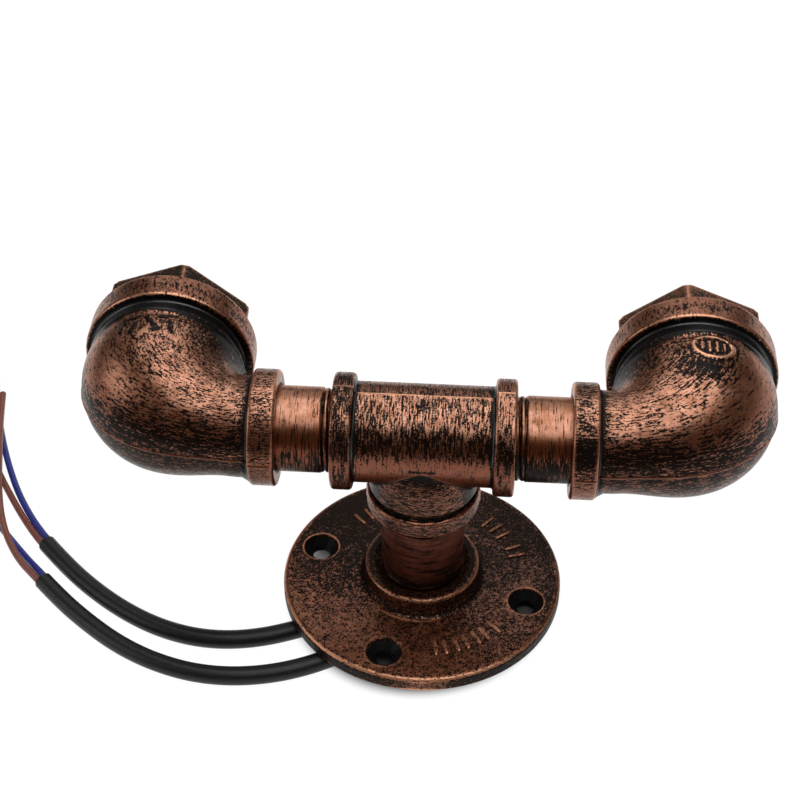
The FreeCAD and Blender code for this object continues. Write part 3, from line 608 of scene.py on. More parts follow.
def elbowRows(look):
    neckReach = look["neckR"] + look["cornerR"]
    bellyReach = look["bellyR"] + look["cornerR"]
    neckEnd = mouthX - bellyReach - elbowFace
    small, smallRub = roundedOutline([
        (look["flareR"], 0, 0.25), (smallBandR, 0, look["edgeRound"]),
        (smallBandR, look["smallBand"], look["edgeRound"]),
        (look["neckR"], look["smallBand"], look["smallNeckRound"]), (look["neckR"], neckEnd, 0)],
        look["step"])
    bandStart = bigFace - look["bigBand"]
    shoulder = neckReach + look["shoulderLength"]
    neckMiddle = (shoulder + bandStart) / 2
    big, bigRub = roundedOutline([
        (look["bellyR"], neckReach, 0), (look["bellyR"], shoulder, look["shoulderRound"]),
        (look["bigNeckR"], shoulder, 0.35), (look["bigNeckR"], bandStart, 0.8),
        (bigBandR, bandStart, look["edgeRound"]), (bigBandR, bigFace, look["edgeRound"]),
        (look["mouthR"], bigFace, 0)], look["step"])
    roll = ridge(big[:, 1] - neckMiddle, look["rollHeight"], look["rollWidth"])
    easing = look["neckEase"] * (1 - smooth((big[:, 1] - shoulder) / 4.0))
    bigRub *= smooth((big[:, 1] - shoulder - 2) / 1.0)
    inNeck = (big[:, 1] > shoulder - 0.01) & (big[:, 1] < bandStart - 0.01)
    big[:, 0] = np.where(inNeck, np.maximum(big[:, 0], look["bigNeckR"] + roll + easing), big[:, 0])
    share = np.linspace(0, 1, look["bendRows"])
    fan = share * math.pi / 2
    radius = bendRadius(share, look)
    pivot = np.array([mouthX - bellyReach, neckReach])
    reach = look["cornerR"] + radius
    bendLength = np.concatenate([[0], np.cumsum(np.diff(fan) * (reach[1:] + reach[:-1]) / 2)])

    def straight(outline, start, heading, outward, lengthStart):
        radii, along = outline[:, 0], outline[:, 1]
        rows = [lengthStart + along, start[0] + heading[0] * along, start[1] + heading[1] * along,
                0 * along + outward[0], 0 * along + outward[1], radii]
        return np.stack(rows, 1)

    def bend(radii):
        rows = [neckEnd + bendLength, pivot[0] + np.sin(fan) * reach, pivot[1] - np.cos(fan) * reach,
                np.sin(fan), -np.cos(fan), radii]
        return np.stack(rows, 1)

    bigStart = neckEnd + bendLength[-1] - neckReach
    outside = np.concatenate([straight(small, (elbowFace, 0), (1, 0), (0, -1), 0), bend(radius)[1:-1],
                              straight(big, (mouthX, 0), (0, 1), (1, 0), bigStart)])
    smallInside = np.array([[look["socketR"], neckEnd], [look["socketR"], look["flare"]]])
    bigInside = np.array([[look["mouthR"], bigFace - look["mouthDepth"]],
                          [look["bellyR"] - look["wall"], neckReach]])
    innerRadius = np.maximum(radius - look["wall"], look["socketR"])
    inside = np.concatenate([straight(bigInside, (mouthX, 0), (0, 1), (1, 0), bigStart),
                             bend(innerRadius)[::-4],
                             straight(smallInside, (elbowFace, 0), (1, 0), (0, -1), 0)])
    rub = np.concatenate([smallRub, 0 * radius[1:-1], bigRub])
    # where the pieces of the path begin, as path lengths
    zone = {"neckEnd": neckEnd, "bendLength": bendLength[-1], "shoulder": bigStart + shoulder,
            "bandStart": bigStart + bandStart}
    return outside, inside, rub, zone


def elbowColumns(look):
    # angles round the section, from outward; closer together at the seam and over the top
    count = look["columns"]
    even = np.linspace(0, 2 * math.pi, 2001)
    density = 1 + ridge(np.sin(even), 2.2, 0.055) + 0.5 * np.clip(np.sin(even), 0, 1)
    grown = np.concatenate([[0], np.cumsum((density[1:] + density[:-1]) / 2)])
    return np.interp(np.arange(count) / count * grown[-1], grown, even)


def elbowPoint(rows, angles, lift=0.0):
    # centre + (radius + lift) (cos outward + sin up)
    r = rows[:, 5:6] + lift
    x = rows[:, 1:2] + r * np.cos(angles) * rows[:, 3:4]
    y = rows[:, 2:3] + r * np.cos(angles) * rows[:, 4:5]
    return np.stack([x, y, r * np.sin(angles) + 0 * x], axis=-1)


def elbowShape(look, marks, bandRub):
    outside, inside, edge, zone = elbowRows(look)
    angles = elbowColumns(look)
    length = outside[:, :1]
    height = outside[:, 5:6] * np.sin(angles)
    bandSide = smooth((zone["bandStart"] - 0.3 - length) / 0.8) * smooth((length - 0.6) / 1.0)
    lift = ridge(height, look["seamHeight"], look["seamWidth"]) * bandSide
    lift -= look["halfStep"] * smooth(-height / 0.8) * bandSide
    behind = np.clip(1 - (length - look["smallBand"] + 0.6) / look["filletReach"], 0, 1)
    room = np.clip(smallBandR - 0.5 - outside[:, 5:6], 0, None) * (length > look["smallBand"] - 0.01)
    lift += room * behind * smooth(-height / 5)
    lift, marked = marks(outside, angles, lift, zone)
    points = elbowPoint(outside, angles, lift)
    bore = elbowPoint(inside, angles)
    # the pad: off the neck, the inner corner and the creases, on the seam and the edges
    rub = edge[:, None] * np.where(edge < 0, 1.5, 1.0)[:, None] + 0 * angles
    # the copper runs a little way up into the neck over the top, and stops short of it inside
    degrees = np.degrees(angles)
    inward = smooth((-np.cos(angles) - 0.25) / 0.5)
    late = ridge(degrees - 78, 3.0, 40) - 2.6 * inward
    neck = smooth((length - zone["shoulder"] - 0.8 - late) / (1.8 + 2.2 * inward))
    neck = neck * smooth((zone["bandStart"] + 0.4 - length) / 0.7)
    share = np.clip((length - zone["neckEnd"]) / zone["bendLength"], 0, 1.3)
    body = smooth((length - zone["neckEnd"] + 3) / 3) * smooth((zone["shoulder"] + 2.0 - length) / 2)
    corner = smooth((-np.cos(angles) - 0.3) / 0.55) * smooth((share - 0.25) / 0.45)
    low = bell(height - 4.8, 5.8) * smooth((np.cos(angles) + 0.1) / 0.4)
    flank = smooth((np.cos(angles) - 0.25) / 0.5) * smooth((share - 0.45) / 0.35)
    flank *= smooth((height - 4) / 6)
    crown = smooth((height - 9) / 6) * smooth((np.cos(angles) + 0.35) / 0.5)
    crown *= smooth((0.9 - share) / 0.3)
    inner = smooth((-np.cos(angles) + 0.1) / 0.5)      # the paint is duller in the inner corner
    rub -= (look["rubNeck"] * (1 - inner) + look["rubInnerNeck"] * inner) * neck
    rub += body * (look["rubFlank"] * flank + look["rubCrown"] * crown - look["rubCorner"] * corner
                   - look["rubLow"] * low)
    rub -= look["rubUnder"] * smooth(-height / 1.5) * body
    past = length - look["smallBand"]
    rub -= ridge(past, look["rubBehindBand"], 2.2) * (past > 0)
    onBand = smooth((length - 0.9) / 0.5) * smooth((look["smallBand"] - 0.8 - length) / 0.5)
    rub -= onBand * ridge(height - 9.0, bandRub, 6.5)
    rub += ridge(height - 0.15, look["rubSeam"], 0.45) * bandSide + marked
    onBig = smooth((length - zone["bandStart"] - 0.9) / 0.5)
    rub += onBig * (look["rubBigBand"] - ridge(length - zone["bandStart"] - 5.0, 0.5, 1.6))
    # painted shade: redder, darker copper away from the top of the section, and on the big band
    paintedShade = np.maximum(0.8 * smooth((0.93 - np.sin(angles)) / 0.45) + 0 * length, 0.5 * onBig)
    # finer below the seam and on the small band's side
    fine = 1 + 0.4 * (height < 0)
    brush = polar(20 + 0 * length, angles, length) * fine[..., None]
    boreBrush = brush[:1].repeat(len(inside), axis=0)
    grid = np.concatenate([points, bore])
    rub = np.concatenate([rub, np.full(bore.shape[:2], -3.0)])
    paintedShade = np.concatenate([paintedShade, np.ones(bore.shape[:2])])
    return grid, np.clip(rub, -3, 2), np.concatenate([brush, boreBrush]), paintedShade


markLook = {
    # share of the bend and angle from outward, in degrees, of each mark's middle
    "ringShare": 1.0, "ringAngle": 83, "ringAcross": 6.2, "ringAlong": 4.9, "ringHeight": 0.45,
    "ringWidth": 0.5,
    # middle along and across, and half the length along and across, of each bar in the ring
    "ringBars": ((0, -3.4, 1.5, 0), (0, -1.1, 2.3, 0), (0, 1.2, 2.3, 0), (0, 3.5, 1.4, 0)),
    "barShare": 1.005, "barAngle": 86, "barHeight": 0.3, "barWidth": 0.4,
    # middle across and along, slant in degrees and half length of each stroke
    "strokes": ((-9.4, 0.4, 5, 3.0), (-5.6, 3.6, 78, 1.7), (-5.6, -1.6, 12, 2.2), (-0.6, 0.8, -38, 2.7),
                (4.8, 3.6, 72, 2.2), (6.0, -1.6, -14, 2.2), (1.8, -3.0, 60, 0.9)),
}


def onSurface(rows, angles, zone, share, degrees):
    # distances on the surface from one point of it: along the pipe and round it
    base = elbowPoint(rows, angles)
    i = int(np.argmin(np.abs(rows[:, 0] - zone["neckEnd"] - share * zone["bendLength"])))
    j = int(np.argmin(np.abs(angles - math.radians(degrees))))
    away = base - base[i, j]
    along = base[i + 2, j] - base[i - 2, j]
    around = base[i, j + 2] - base[i, j - 2]
    near = np.linalg.norm(away, axis=-1) < 16
    return away @ along / np.linalg.norm(along), away @ around / np.linalg.norm(around), near


def ringMark(rows, angles, lift, zone):
    # a plain raised oval round four plain bars, with the black that is left inside and below it
    m = markLook
    u, v, near = onSurface(rows, angles, zone, m["ringShare"], m["ringAngle"])
    size = np.hypot(u / m["ringAlong"], v / m["ringAcross"])
    away = (size - 1) * m["ringAlong"]
    lift += ridge(away, m["ringHeight"], m["ringWidth"]) * near
    inside = smooth((0.93 - size) / 0.1) * near
    below = bell(u + 9.2, 3.2) * bell(v - 2.0, 6.5) * near
    beside = ridge(away - 1.1, 0.9, 0.6) * near
    left = bell(u + 2.0, 5.0) * bell(v - 10.0, 3.6) * near
    rub = ridge(away, 1.7, 0.6) * near - 1.3 * inside - 1.7 * below - beside - 0.7 * left
    for along, across, halfU, halfV in m["ringBars"]:
        off = np.hypot(np.maximum(np.abs(u - along) - halfU, 0),
                       np.maximum(np.abs(v - across) - halfV, 0))
        lift += ridge(off, 0.28, 0.38) * near
        rub += ridge(off, 2.6, 0.45) * near
    return lift, rub


def barMarks(rows, angles, lift, zone):
    # plain raised strokes, left black
    m = markLook
    u, v, near = onSurface(rows, angles, zone, m["barShare"], m["barAngle"])
    rub = 0 * lift
    for middleV, middleU, slant, half in m["strokes"]:
        turn = math.radians(slant)
        x, y = v - middleV, u - middleU
        along = x * math.sin(turn) + y * math.cos(turn)
        off = x * math.cos(turn) - y * math.sin(turn)
        away = np.hypot(np.maximum(np.abs(along) - half, 0), off)
        lift += ridge(away, m["barHeight"], m["barWidth"]) * near
        rub += (ridge(away - 1.2, 0.5, 0.35) - ridge(away, 2.0, 0.85)) * near
    return lift, rub


elbowCopper = {
    "left": rubbedCopper("left elbow copper", alongPipe=True, cover=0.59, strokeAcross=1900,
                         strokeAlong=600, strokeShare=0.5, speckScale=1900, patchShare=0.45, contrast=13),
    "right": rubbedCopper("right elbow copper", alongPipe=True, cover=0.74, strokeAcross=1750,
                          strokeAlong=420, strokeShare=0.5, speckScale=1700, patchShare=0.75,
                          contrast=12),
}


def makeElbows(look):
    for side, name, marks, bandRub in ((-1, "left", barMarks, 0.15), (1, "right", ringMark, 1.3)):
        grid, rub, brush, paintedShade = elbowShape(look, marks, bandRub)
        points = grid * (side, 1, 1) + (0, 0, runHeight)
        faces = gridFaces(len(grid), look["columns"], True)
        makePiece(name + "_elbow_casting", points, faces, name + "_head",
                  elbowCopper[name], [name + "_elbow"], rub, brush, paintedShade)
        print(name, "elbow made:", 2 * len(faces), "triangles")


makeElbows(elbowLook)


# Tee: two half runs and a branch that meet in two slanting creases, blended by a smooth union
teeLook = {
    **castLook, "bodyR": 15.8, "bandWidth": 6.6, "neckRound": 0.8, "depth": 14.0, "fillet": 2.4,
    "turns": 264, "upperTurns": 138, "rows": 46, "step": 0.50,
    "seamHeight": 0.3, "seamWidth": 0.4,
    # the branch is bell shaped: narrow under the run, wide above its band and drawn in again
    "topR": 15.5, "bellR": 17.4, "endR": 16.3, "branchBandR": 18.0, "branchNeckRound": 0.3,
    # how much more or less the pad rubs each place; rubMiddle, rubTop, rubLow and rubUnlit also hold
    # painted shade and painted light
    "rubCrease": 2.4, "rubBehindBand": 1.3, "rubSeam": 1.0, "rubMiddle": 0.6, "rubLow": 0.78,
    "rubTop": 0.15, "rubLine": 0.3, "rubUpper": 0.12, "rubPeak": 2.5, "rubBranch": 0.3,
    "rubUnlit": 1.6, "rubRightBand": 0.95,
}


def branchRadius(depth, look):
    bell = (look["bellR"] - look["topR"]) * smooth((depth - 3) / 10)
    return look["topR"] + bell - (look["bellR"] - look["endR"]) * smooth((depth - 19.0) / 1.6)


def teeColumns(look):
    # Angles round the branch, from the front, with the depth where each meets the run:
    # depth^2 = run radius^2 - (branch radius cos)^2. Angles round the run, with the distances
    # from the middle where they meet the branch, or the other arm. Both share those points.
    angles = roundAngles(look["turns"])
    depth = look["bodyR"] * np.abs(np.sin(angles))
    for step in range(60):
        across = branchRadius(depth, look) * np.cos(angles)
        depth = (depth + np.sqrt(np.clip(look["bodyR"] ** 2 - across ** 2, 0, None))) / 2
    lower = slice(0, look["turns"] // 2 + 1)
    across = branchRadius(depth, look) * np.cos(angles)
    under = np.arctan2(depth, across)[lower]
    share = np.arange(1, look["upperTurns"]) / look["upperTurns"]
    outer = np.concatenate([under, math.pi - under[0] + share * (math.pi + 2 * under[0])])
    inner = np.concatenate([angles[lower], math.pi + share * math.pi])
    reach = branchRadius(depth, look) * np.abs(np.sin(angles))
    return angles, depth, outer, inner, np.concatenate([reach[lower], 0 * share])


def teeArm(look, branch, crease, innerCrease, outer, inner):
    # rows of (distance from the centre, radius, angle), each an array over the columns of the arm:
    # from the outer crease to the band, over the band and down the socket to the inner crease
    bandR, neckRound = smallBandR, look["neckRound"]
    endR = look["bodyR"]
    if branch:
        bandR, neckRound, endR = look["branchBandR"], look["branchNeckRound"], look["endR"]
    bandStart = teeReach - look["bandWidth"]
    share = np.linspace(0, 1, look["rows"])[:, None] ** 1.25
    body = crease + (bandStart - 1.0 - crease) * share
    outline, edge = roundedOutline([
        (endR, bandStart - 0.9, 0), (endR, bandStart, neckRound),
        (bandR, bandStart, look["edgeRound"]), (bandR, teeReach, look["edgeRound"]),
        (look["flareR"], teeReach, 0.2), (look["socketR"], teeReach - look["flare"], 0),
        (look["socketR"], teeReach - look["depth"], 0),
        (look["bodyR"] - look["wall"], teeReach - look["depth"], 0)], look["step"])
    share = np.linspace(0, 1, 7)[1:, None]
    innerStart = teeReach - look["depth"] - 0.1
    bore = innerStart + (innerCrease - innerStart) * share
    ones = np.ones_like(crease)
    distance = np.concatenate([body, outline[:, 1:] * ones, bore])
    bodyR = branchRadius(body, look) if branch else look["bodyR"] + 0 * body
    radius = np.concatenate([bodyR, outline[:, :1] * ones, look["bodyR"] - look["wall"] + 0 * bore])
    edges = np.concatenate([0 * body, edge[:, None] * ones, 0 * bore - 3])
    turn = np.concatenate([np.zeros(len(body)), np.linspace(0, 1, len(outline)), np.ones(len(bore))])
    angle = outer + (inner - outer) * turn[:, None]
    outside = np.arange(len(distance)) < len(body) + np.argmax(outline[:, 1] >= teeReach - 0.01)
    return distance, radius, angle, edges, outside


def blendedUnion(points, look):
    # Newton steps onto the smooth minimum of the distances to the run and the branch. The blend
    # width falls to nothing where the two surfaces lie alike, so their sides stay plain.
    for step in range(4):
        x, y, z = np.moveaxis(points, -1, 0)
        up = np.maximum(z, 0)
        runR = np.sqrt(y ** 2 + z ** 2) + 1e-9
        branchR = np.sqrt(x ** 2 + y ** 2 + up ** 2) + 1e-9
        wanted = branchRadius(np.maximum(-z, 0), look)
        runWay = np.stack([0 * x, y / runR, z / runR], -1)
        branchWay = np.stack([x / branchR, y / branchR, up / branchR], -1)
        likeness = np.sum(runWay * branchWay, -1)
        width = look["fillet"] * np.clip(1 - likeness, 0, 1) + 1e-6
        a, b = runR - look["bodyR"], branchR - wanted
        mix = np.clip(0.5 + 0.5 * (b - a) / width, 0, 1)
        value = b + (a - b) * mix - width * mix * (1 - mix)
        way = runWay * mix[..., None] + branchWay * (1 - mix[..., None])
        points = points - value[..., None] * way / np.sum(way ** 2, -1, keepdims=True)
    return points


def makeTee(look):
    innerR = look["bodyR"] - look["wall"]
    angles, depth, outer, inner, reach = teeColumns(look)
    patches = Patches()
    for arm in ("left", "right", "branch"):
        # the angle is measured from the front, down for the run and to the right for the branch
        branch = arm == "branch"
        if branch:
            arcs = depth, innerR * np.abs(np.sin(angles)), angles, angles
        else:
            arcs = reach, innerR * np.maximum(np.sin(inner), 0), outer, inner
        distance, radius, angle, edge, outside = teeArm(look, branch, *arcs)
        front, side = -radius * np.cos(angle), radius * np.sin(angle)
        if branch:
            points = np.stack([side, front, -distance], -1)
        else:
            points = np.stack([distance * (1 if arm == "right" else -1), front, -side], -1)
        rows = look["rows"]
        before = points[:rows].copy()
        points[:rows] = blendedUnion(points[:rows], look)
        moved = np.linalg.norm(points[:rows] - before, axis=-1)
        away = np.stack([side, front], -1) / radius[..., None]
        seam = ridge(points[..., 1], look["seamHeight"], look["seamWidth"]) * outside[:, None]
        inBand = smooth((teeReach - 0.4 - distance) / 0.6) * (radius < smallBandR + 0.01)
        if branch:
            points[..., 0] += seam * inBand * away[..., 0]
        else:
            points[..., 2] -= seam * inBand * away[..., 0]
        rub = edge * np.where(edge < 0, 0.7 if branch else 1.6, 0.9)
        rub[:rows] -= look["rubCrease"] * smooth(moved / 0.35)
        rub += ridge(points[..., 1], look["rubSeam"], 0.4) * outside[:, None]
        height, front = points[..., 2], -points[..., 1]
        inBody = distance < teeReach - look["bandWidth"] - 0.2
        gap = teeReach - look["bandWidth"] - distance
        rub -= ridge(gap - 0.3, look["rubBehindBand"], 0.6 if branch else 1.0) * inBody
        if branch:
            # copper only low on its front, where it is lit, and black under the run and at its sides,
            # which is painted shade
            lit = smooth((-height - 2.0) / 8.5) * smooth((17.5 - np.abs(points[..., 0])) / 6)
            rub -= look["rubBranch"] + look["rubUnlit"] * inBody * (1 - lit)
            # painted shade: redder, darker copper over the whole branch
            paintedShade = 0.7 + 0 * height
            brush = points * 1.5
        else:
            # painted shade and light on the front of the run: black across the middle and behind the top,
            # which is painted shade, and more copper low down, which stands in for the lit table's
            # reflection
            middle = bell(height - 8.5, 4.2) * smooth((front + 2) / 4)
            low = smooth((4.5 - height) / 5) * smooth((front + 6) / 5)
            top = smooth((-front + 0.4) / 0.5) * smooth((height - 4) / 4)
            lined = bell(height - 15.2, 0.7) * smooth(front)
            upper = smooth((height - 9) / 3) * smooth(front)
            rub += inBody * (look["rubLow"] * low - look["rubMiddle"] * middle - look["rubTop"] * top
                             - look["rubLine"] * lined + look["rubUpper"] * upper)
            # painted shade: redder, darker copper below the highlight and behind the top
            paintedShade = np.maximum(smooth((11.0 - height) / 5), 0.6 * smooth(-front / 2))
            peak = bell(height + 1.7, 0.45) * smooth((4.8 - np.abs(points[..., 0])) / 1.2)
            rub -= look["rubPeak"] * peak * inBody * (front > 0)
            if arm == "left":
                rub -= ~inBody * (0.2 + 0.4 * smooth((height - 3) / 4))
            else:
                rub += ~inBody * (0.05 - ridge(height - 7.0, look["rubRightBand"], 4.5))
            brush = np.stack([points[..., 1], points[..., 2], points[..., 0]], -1)
            brush = brush * (1 + 0.15 * (front < 0))[..., None]
        patches.add(points, np.clip(rub, -3, 2), brush, paintedShade, flip=arm == "right")
    patches.makeInto("tee_casting", runHeight, "crossbar", teeCopper, ["pipe_tee"])


teeCopper = rubbedCopper("tee copper", cover=0.66, strokeAcross=2100, strokeAlong=300, strokeShare=0.55,
                         speckScale=2000, patchShare=0.5, contrast=12)
makeTee(teeLook)

# Wall flange: a round plate on a hub, with four countersunk holes and plain cast bars
flangeLook = {
    **castLook, "thickness": 5.1, "edgeRound": 1.6, "footRound": 0.6, "hubR": 18.9, "hubEdge": 1.3,
    "hubFoot": 2.6, "rimR": 16.0, "dishRound": 0.5, "dishFloor": 10.4,
    "holeCircle": 36.2, "firstHole": 73.5, "holeR": 3.0, "sinkR": 5.9, "sinkDepth": 3.1,
    "sinkMargin": 0.35, "arcSteps": 84, "sideSteps": 40, "topRings": 30, "step": 0.45,
    # how much more or less the pad rubs each place
    "rubNear": 0.50, "rubFar": 0.13, "rubLeft": 0.13, "rubFront": 0.24, "rubHoles": 0.5,
    "rubCrease": 1.5, "rubNearBars": 0.75, "rubFarBars": 0.4,
    "barCircle": 33.0, "barHalf": (3.1, 0.62, 0.55),
    "barAngles": (-79.5, -74.0, -67.5, -62.0, -55.5, -50.0, -42.5, 18.0, 24.5, 36.0, 43.0, 50.0,
                  126.5, 133.5),
}


def holePatch(look, hole, inner, outer, height, rings, holeR):
    # a quarter ring with a round hole: each ray from the hole meets one point of the quarter's
    # outline, and runs straight to it in radius and angle
    quarter = math.pi / 4
    arc = np.linspace(-quarter, quarter, look["arcSteps"] + 1)
    side = np.linspace(outer, inner, look["sideSteps"] + 1)
    radius = np.concatenate([0 * arc[:-1] + outer, side[:-1], 0 * arc[:-1] + inner, side[:0:-1]])
    angle = np.concatenate([arc[:-1], 0 * side[:-1] + quarter, -arc[:-1], 0 * side[:0:-1] - quarter])
    ray = np.arctan2(radius * np.sin(angle), radius * np.cos(angle) - look["holeCircle"])
    x, y = look["holeCircle"] + holeR * np.cos(ray), holeR * np.sin(ray)
    share = np.linspace(0, 1, rings)[:, None] ** 1.3
    r = np.hypot(x, y) + (radius - np.hypot(x, y)) * share
    a = np.arctan2(y, x) + (angle - np.arctan2(y, x)) * share + hole
    return polar(r, a, height), ray


def turnedBy(turn, x, y, z):  # points turned about the Z axis
    cosine, sine = math.cos(turn), math.sin(turn)
    return np.stack([x * cosine - y * sine, x * sine + y * cosine, z], -1)


def superBlock(half, centre, turn, rows=11, columns=32):
    # a block with rounded edges: x, y and z follow signed powers of cosine and sine
    def power(value, exponent):
        return np.sign(value) * np.abs(value) ** exponent
    rise = np.linspace(-math.pi / 2, math.pi / 2, rows)[:, None]
    around = roundAngles(columns)
    x = half[0] * power(np.cos(rise), 0.4) * power(np.cos(around), 0.45)
    y = half[1] * power(np.cos(rise), 0.4) * power(np.sin(around), 0.45)
    z = half[2] * power(np.sin(rise), 0.55) + 0 * around
    return turnedBy(turn, x, y, z) + np.array(centre)


def flangeFaceRub(points, look):
    # the pad pressed on the near left of the plate and hardly touched its far side
    x, y = points[..., 0], points[..., 1]
    near = smooth((-0.35 * x - 0.95 * y - 12) / 20)
    left = smooth((-x - 8) / 16) * smooth((y + 22) / 14)
    front = smooth((x + 14) / 14) * smooth((-y - 24) / 10)
    spread = (look["rubNear"] + look["rubFar"]) * near - look["rubFar"]
    return spread - look["rubLeft"] * left - look["rubFront"] * front


def makeFlange(look):
    top, hub = look["thickness"], hubHeight
    outerTop, innerTop = flangeR - look["edgeRound"] - 0.3, look["hubR"] + look["hubFoot"] + 0.4
    outerFoot, innerFoot = flangeR - look["footRound"] - 0.3, look["flareR"] + 1.4
    first = math.radians(look["firstHole"])
    angles = first - math.pi / 4 + roundAngles(4 * look["arcSteps"])
    rim, rimRub = roundedOutline([(outerFoot, 0, 0), (flangeR, 0, look["footRound"]),
                                  (flangeR, top, look["edgeRound"]), (outerTop, top, 0)], look["step"])
    boss, bossRub = roundedOutline([
        (innerTop, top, 0), (look["hubR"], top, look["hubFoot"]), (look["hubR"], hub, look["hubEdge"]),
        (look["rimR"], hub, look["dishRound"]), (look["socketR"], look["dishFloor"], 0),
        (look["socketR"], look["flare"], 0), (look["flareR"], 0, 0), (innerFoot, 0, 0)], look["step"])
    patches = Patches()
    grid = turnedGrid(rim, angles)
    side = smooth((top - 0.7 - rim[:, 1]) / 0.5)[:, None]
    near = bell(np.degrees(angles) - 272, 14)
    # the rim's edge wear grows towards the near left, partly a painted highlight along the rounded edge
    rimWearAndHighlight = 0.80 + 0.65 * np.cos(angles - math.radians(-125))
    patches.add(grid, rimRub[:, None] * np.clip(rimWearAndHighlight, 0.2, 1.45) + side * (1.9 * near - 1.5) + 0.05)
    grid = turnedGrid(boss, angles)
    inside = smooth((look["rimR"] + 0.2 - boss[:, 0]) / 0.5)
    ring = (boss[:, 1] > hub - 0.01) & (boss[:, 0] < look["hubR"] - look["hubEdge"])
    bossRub = bossRub * np.where(bossRub < 0, 0.7, 0.85) - 0.1 * inside - 0.45 * ring
    # the crease at the hub's near foot shows a pale copper line
    crease = bell(boss[:, 0] - innerTop + 0.5, 0.35) * (boss[:, 1] < top + 0.4)
    turned = bell(np.degrees(angles) - 258, 26)
    patches.add(grid, bossRub[:, None] + flangeFaceRub(grid, look) * (1 - inside)[:, None]
                + look["rubCrease"] * crease[:, None] * turned)
    wall, _ = roundedOutline([
        (look["sinkR"] + look["sinkMargin"], top, 0), (look["sinkR"], top, 0.18),
        (look["holeR"], top - look["sinkDepth"], 0), (look["holeR"], 0, 0)], look["step"])
    for k in range(4):
        hole = first + k * math.pi / 2
        upper, ray = holePatch(look, hole, innerTop, outerTop, top, look["topRings"],
                               look["sinkR"] + look["sinkMargin"])
        centre = look["holeCircle"] * np.array([math.cos(hole), math.sin(hole)])
        gap = np.hypot(upper[..., 0] - centre[0], upper[..., 1] - centre[1]) - look["sinkR"]
        patches.add(upper, ridge(gap, look["rubHoles"], 0.6) + flangeFaceRub(upper, look), flip=True)
        lower, ray = holePatch(look, hole, innerFoot, outerFoot, 0, 5, look["holeR"])
        patches.add(lower, -0.3)
        x = look["holeCircle"] + wall[:, :1] * np.cos(ray)
        tube = turnedBy(hole, x, wall[:, :1] * np.sin(ray), wall[:, 1:] + 0 * ray)
        depth = np.clip((top - wall[:, 1]) / 1.2, 0, 1)
        patches.add(tube, (look["rubHoles"] - 2.6 * depth)[:, None])
    patches.makeInto("flange_plate", 0, "flange", flangeCopper, ["wall_flange"])
    bars = Patches()
    for angle in np.radians(look["barAngles"]):
        centre = (look["barCircle"] * math.cos(angle), look["barCircle"] * math.sin(angle), top)
        bars.add(superBlock(look["barHalf"], centre, angle),
                 look["rubNearBars"] if angle < 0 else look["rubFarBars"])
    bars.makeInto("flange_bars", 0, "flange", flangeCopper, ())


# the plate's copper is darker and browner than the other fittings', partly painted shade on its upward
# face
flangeCopper = rubbedCopper(
    "flange copper", cover=0.42, contrast=14, strokeShare=0.35, strokeAcross=1700, strokeAlong=800,
    speckScale=1900, patchScale=45, patchShare=0.5, edge=0.22, grain=0.0002,
    deep=(0.155, 0.050, 0.022), bright=(0.32, 0.118, 0.056), thin=(0.036, 0.017, 0.010),
    copperRoughness=0.40, blackRoughness=0.42, lacquer=0.35,
    calm=((0.25, 0.97, 0), -0.024, 0.008, 0.74))
makeFlange(flangeLook)


# Hexagonal bush in each mouth
bushLook = {
    "cornerR": 25.95, "cornerRound": 0.5, "turnLeft": 20.4, "turnRight": 37.1, "chamfer": 0.7,
    "boreR": 18.5, "lip": 2.0, "lipR": 15.8, "lipChamfer": 0.6, "tail": 12.2, "tailR": 20.7,
    "columns": 216, "rings": 14, "rubFlats": -0.2, "rubCorners": 1.5, "rubEdge": 0.7,
}


def hexRadius(angles, cornerR, cornerRound):
    # distance to the nearest flat, with the corners eased by a soft minimum
    flat = cornerR * math.cos(math.pi / 6)
    turn = np.mod(angles, math.pi / 3) - math.pi / 6
    eased = 1 - smooth((math.pi / 6 - np.abs(turn)) / 0.06)
    return np.minimum(flat / np.cos(turn), cornerR - 0.35 * cornerRound * eased)


def makeBush(look, side, name):
    turn = math.radians(look["turnLeft"] if side < 0 else look["turnRight"])
    angles = roundAngles(look["columns"])
    hexR = hexRadius(angles, look["cornerR"], look["cornerRound"])
    crown = np.minimum(hexR, look["cornerR"] - look["chamfer"])
    end = bigFace - look["tail"]
    rows = [(look["boreR"], end), (look["tailR"], end), (look["tailR"], bigFace)]
    hexFirst, hexLast = len(rows), len(rows) + look["rings"]
    rows += [(hexR, y) for y in np.linspace(bigFace + 0.02, mouthY - look["chamfer"], look["rings"])]
    rows += [(crown, mouthY), (look["lipR"] + look["lipChamfer"], mouthY),
             (look["lipR"], mouthY - look["lipChamfer"]), (look["lipR"], mouthY - look["lip"]),
             (look["boreR"], mouthY - look["lip"])]
    radius = np.stack([r + 0 * angles for r, y in rows])
    grid = polar(radius, angles, np.array([[y] for r, y in rows]))
    corner = bell(look["cornerR"] - hexR, 0.4)
    rub = np.full(radius.shape, look["rubFlats"])
    rub[hexFirst:hexLast + 1] += look["rubCorners"] * corner
    rub[hexLast - 1:hexLast + 2] += look["rubEdge"]
    rub[hexLast] += 0.4
    rub[hexFirst] -= 1.0
    rub[:hexFirst] = -3
    # local X points along the mouth's +X turned by the corner's angle, local Z out of the mouth
    across = np.array([math.cos(turn), 0, math.sin(turn)])
    points = placed(grid, (side * mouthX, 0, runHeight), (0, 1, 0), across)
    faces = gridFaces(len(grid), look["columns"], True)
    makePiece(name + "_hexagon", points, faces, name + "_head", hexCopper[name],
              [name + "_hex_bush"], rub, grid, sharp=25)


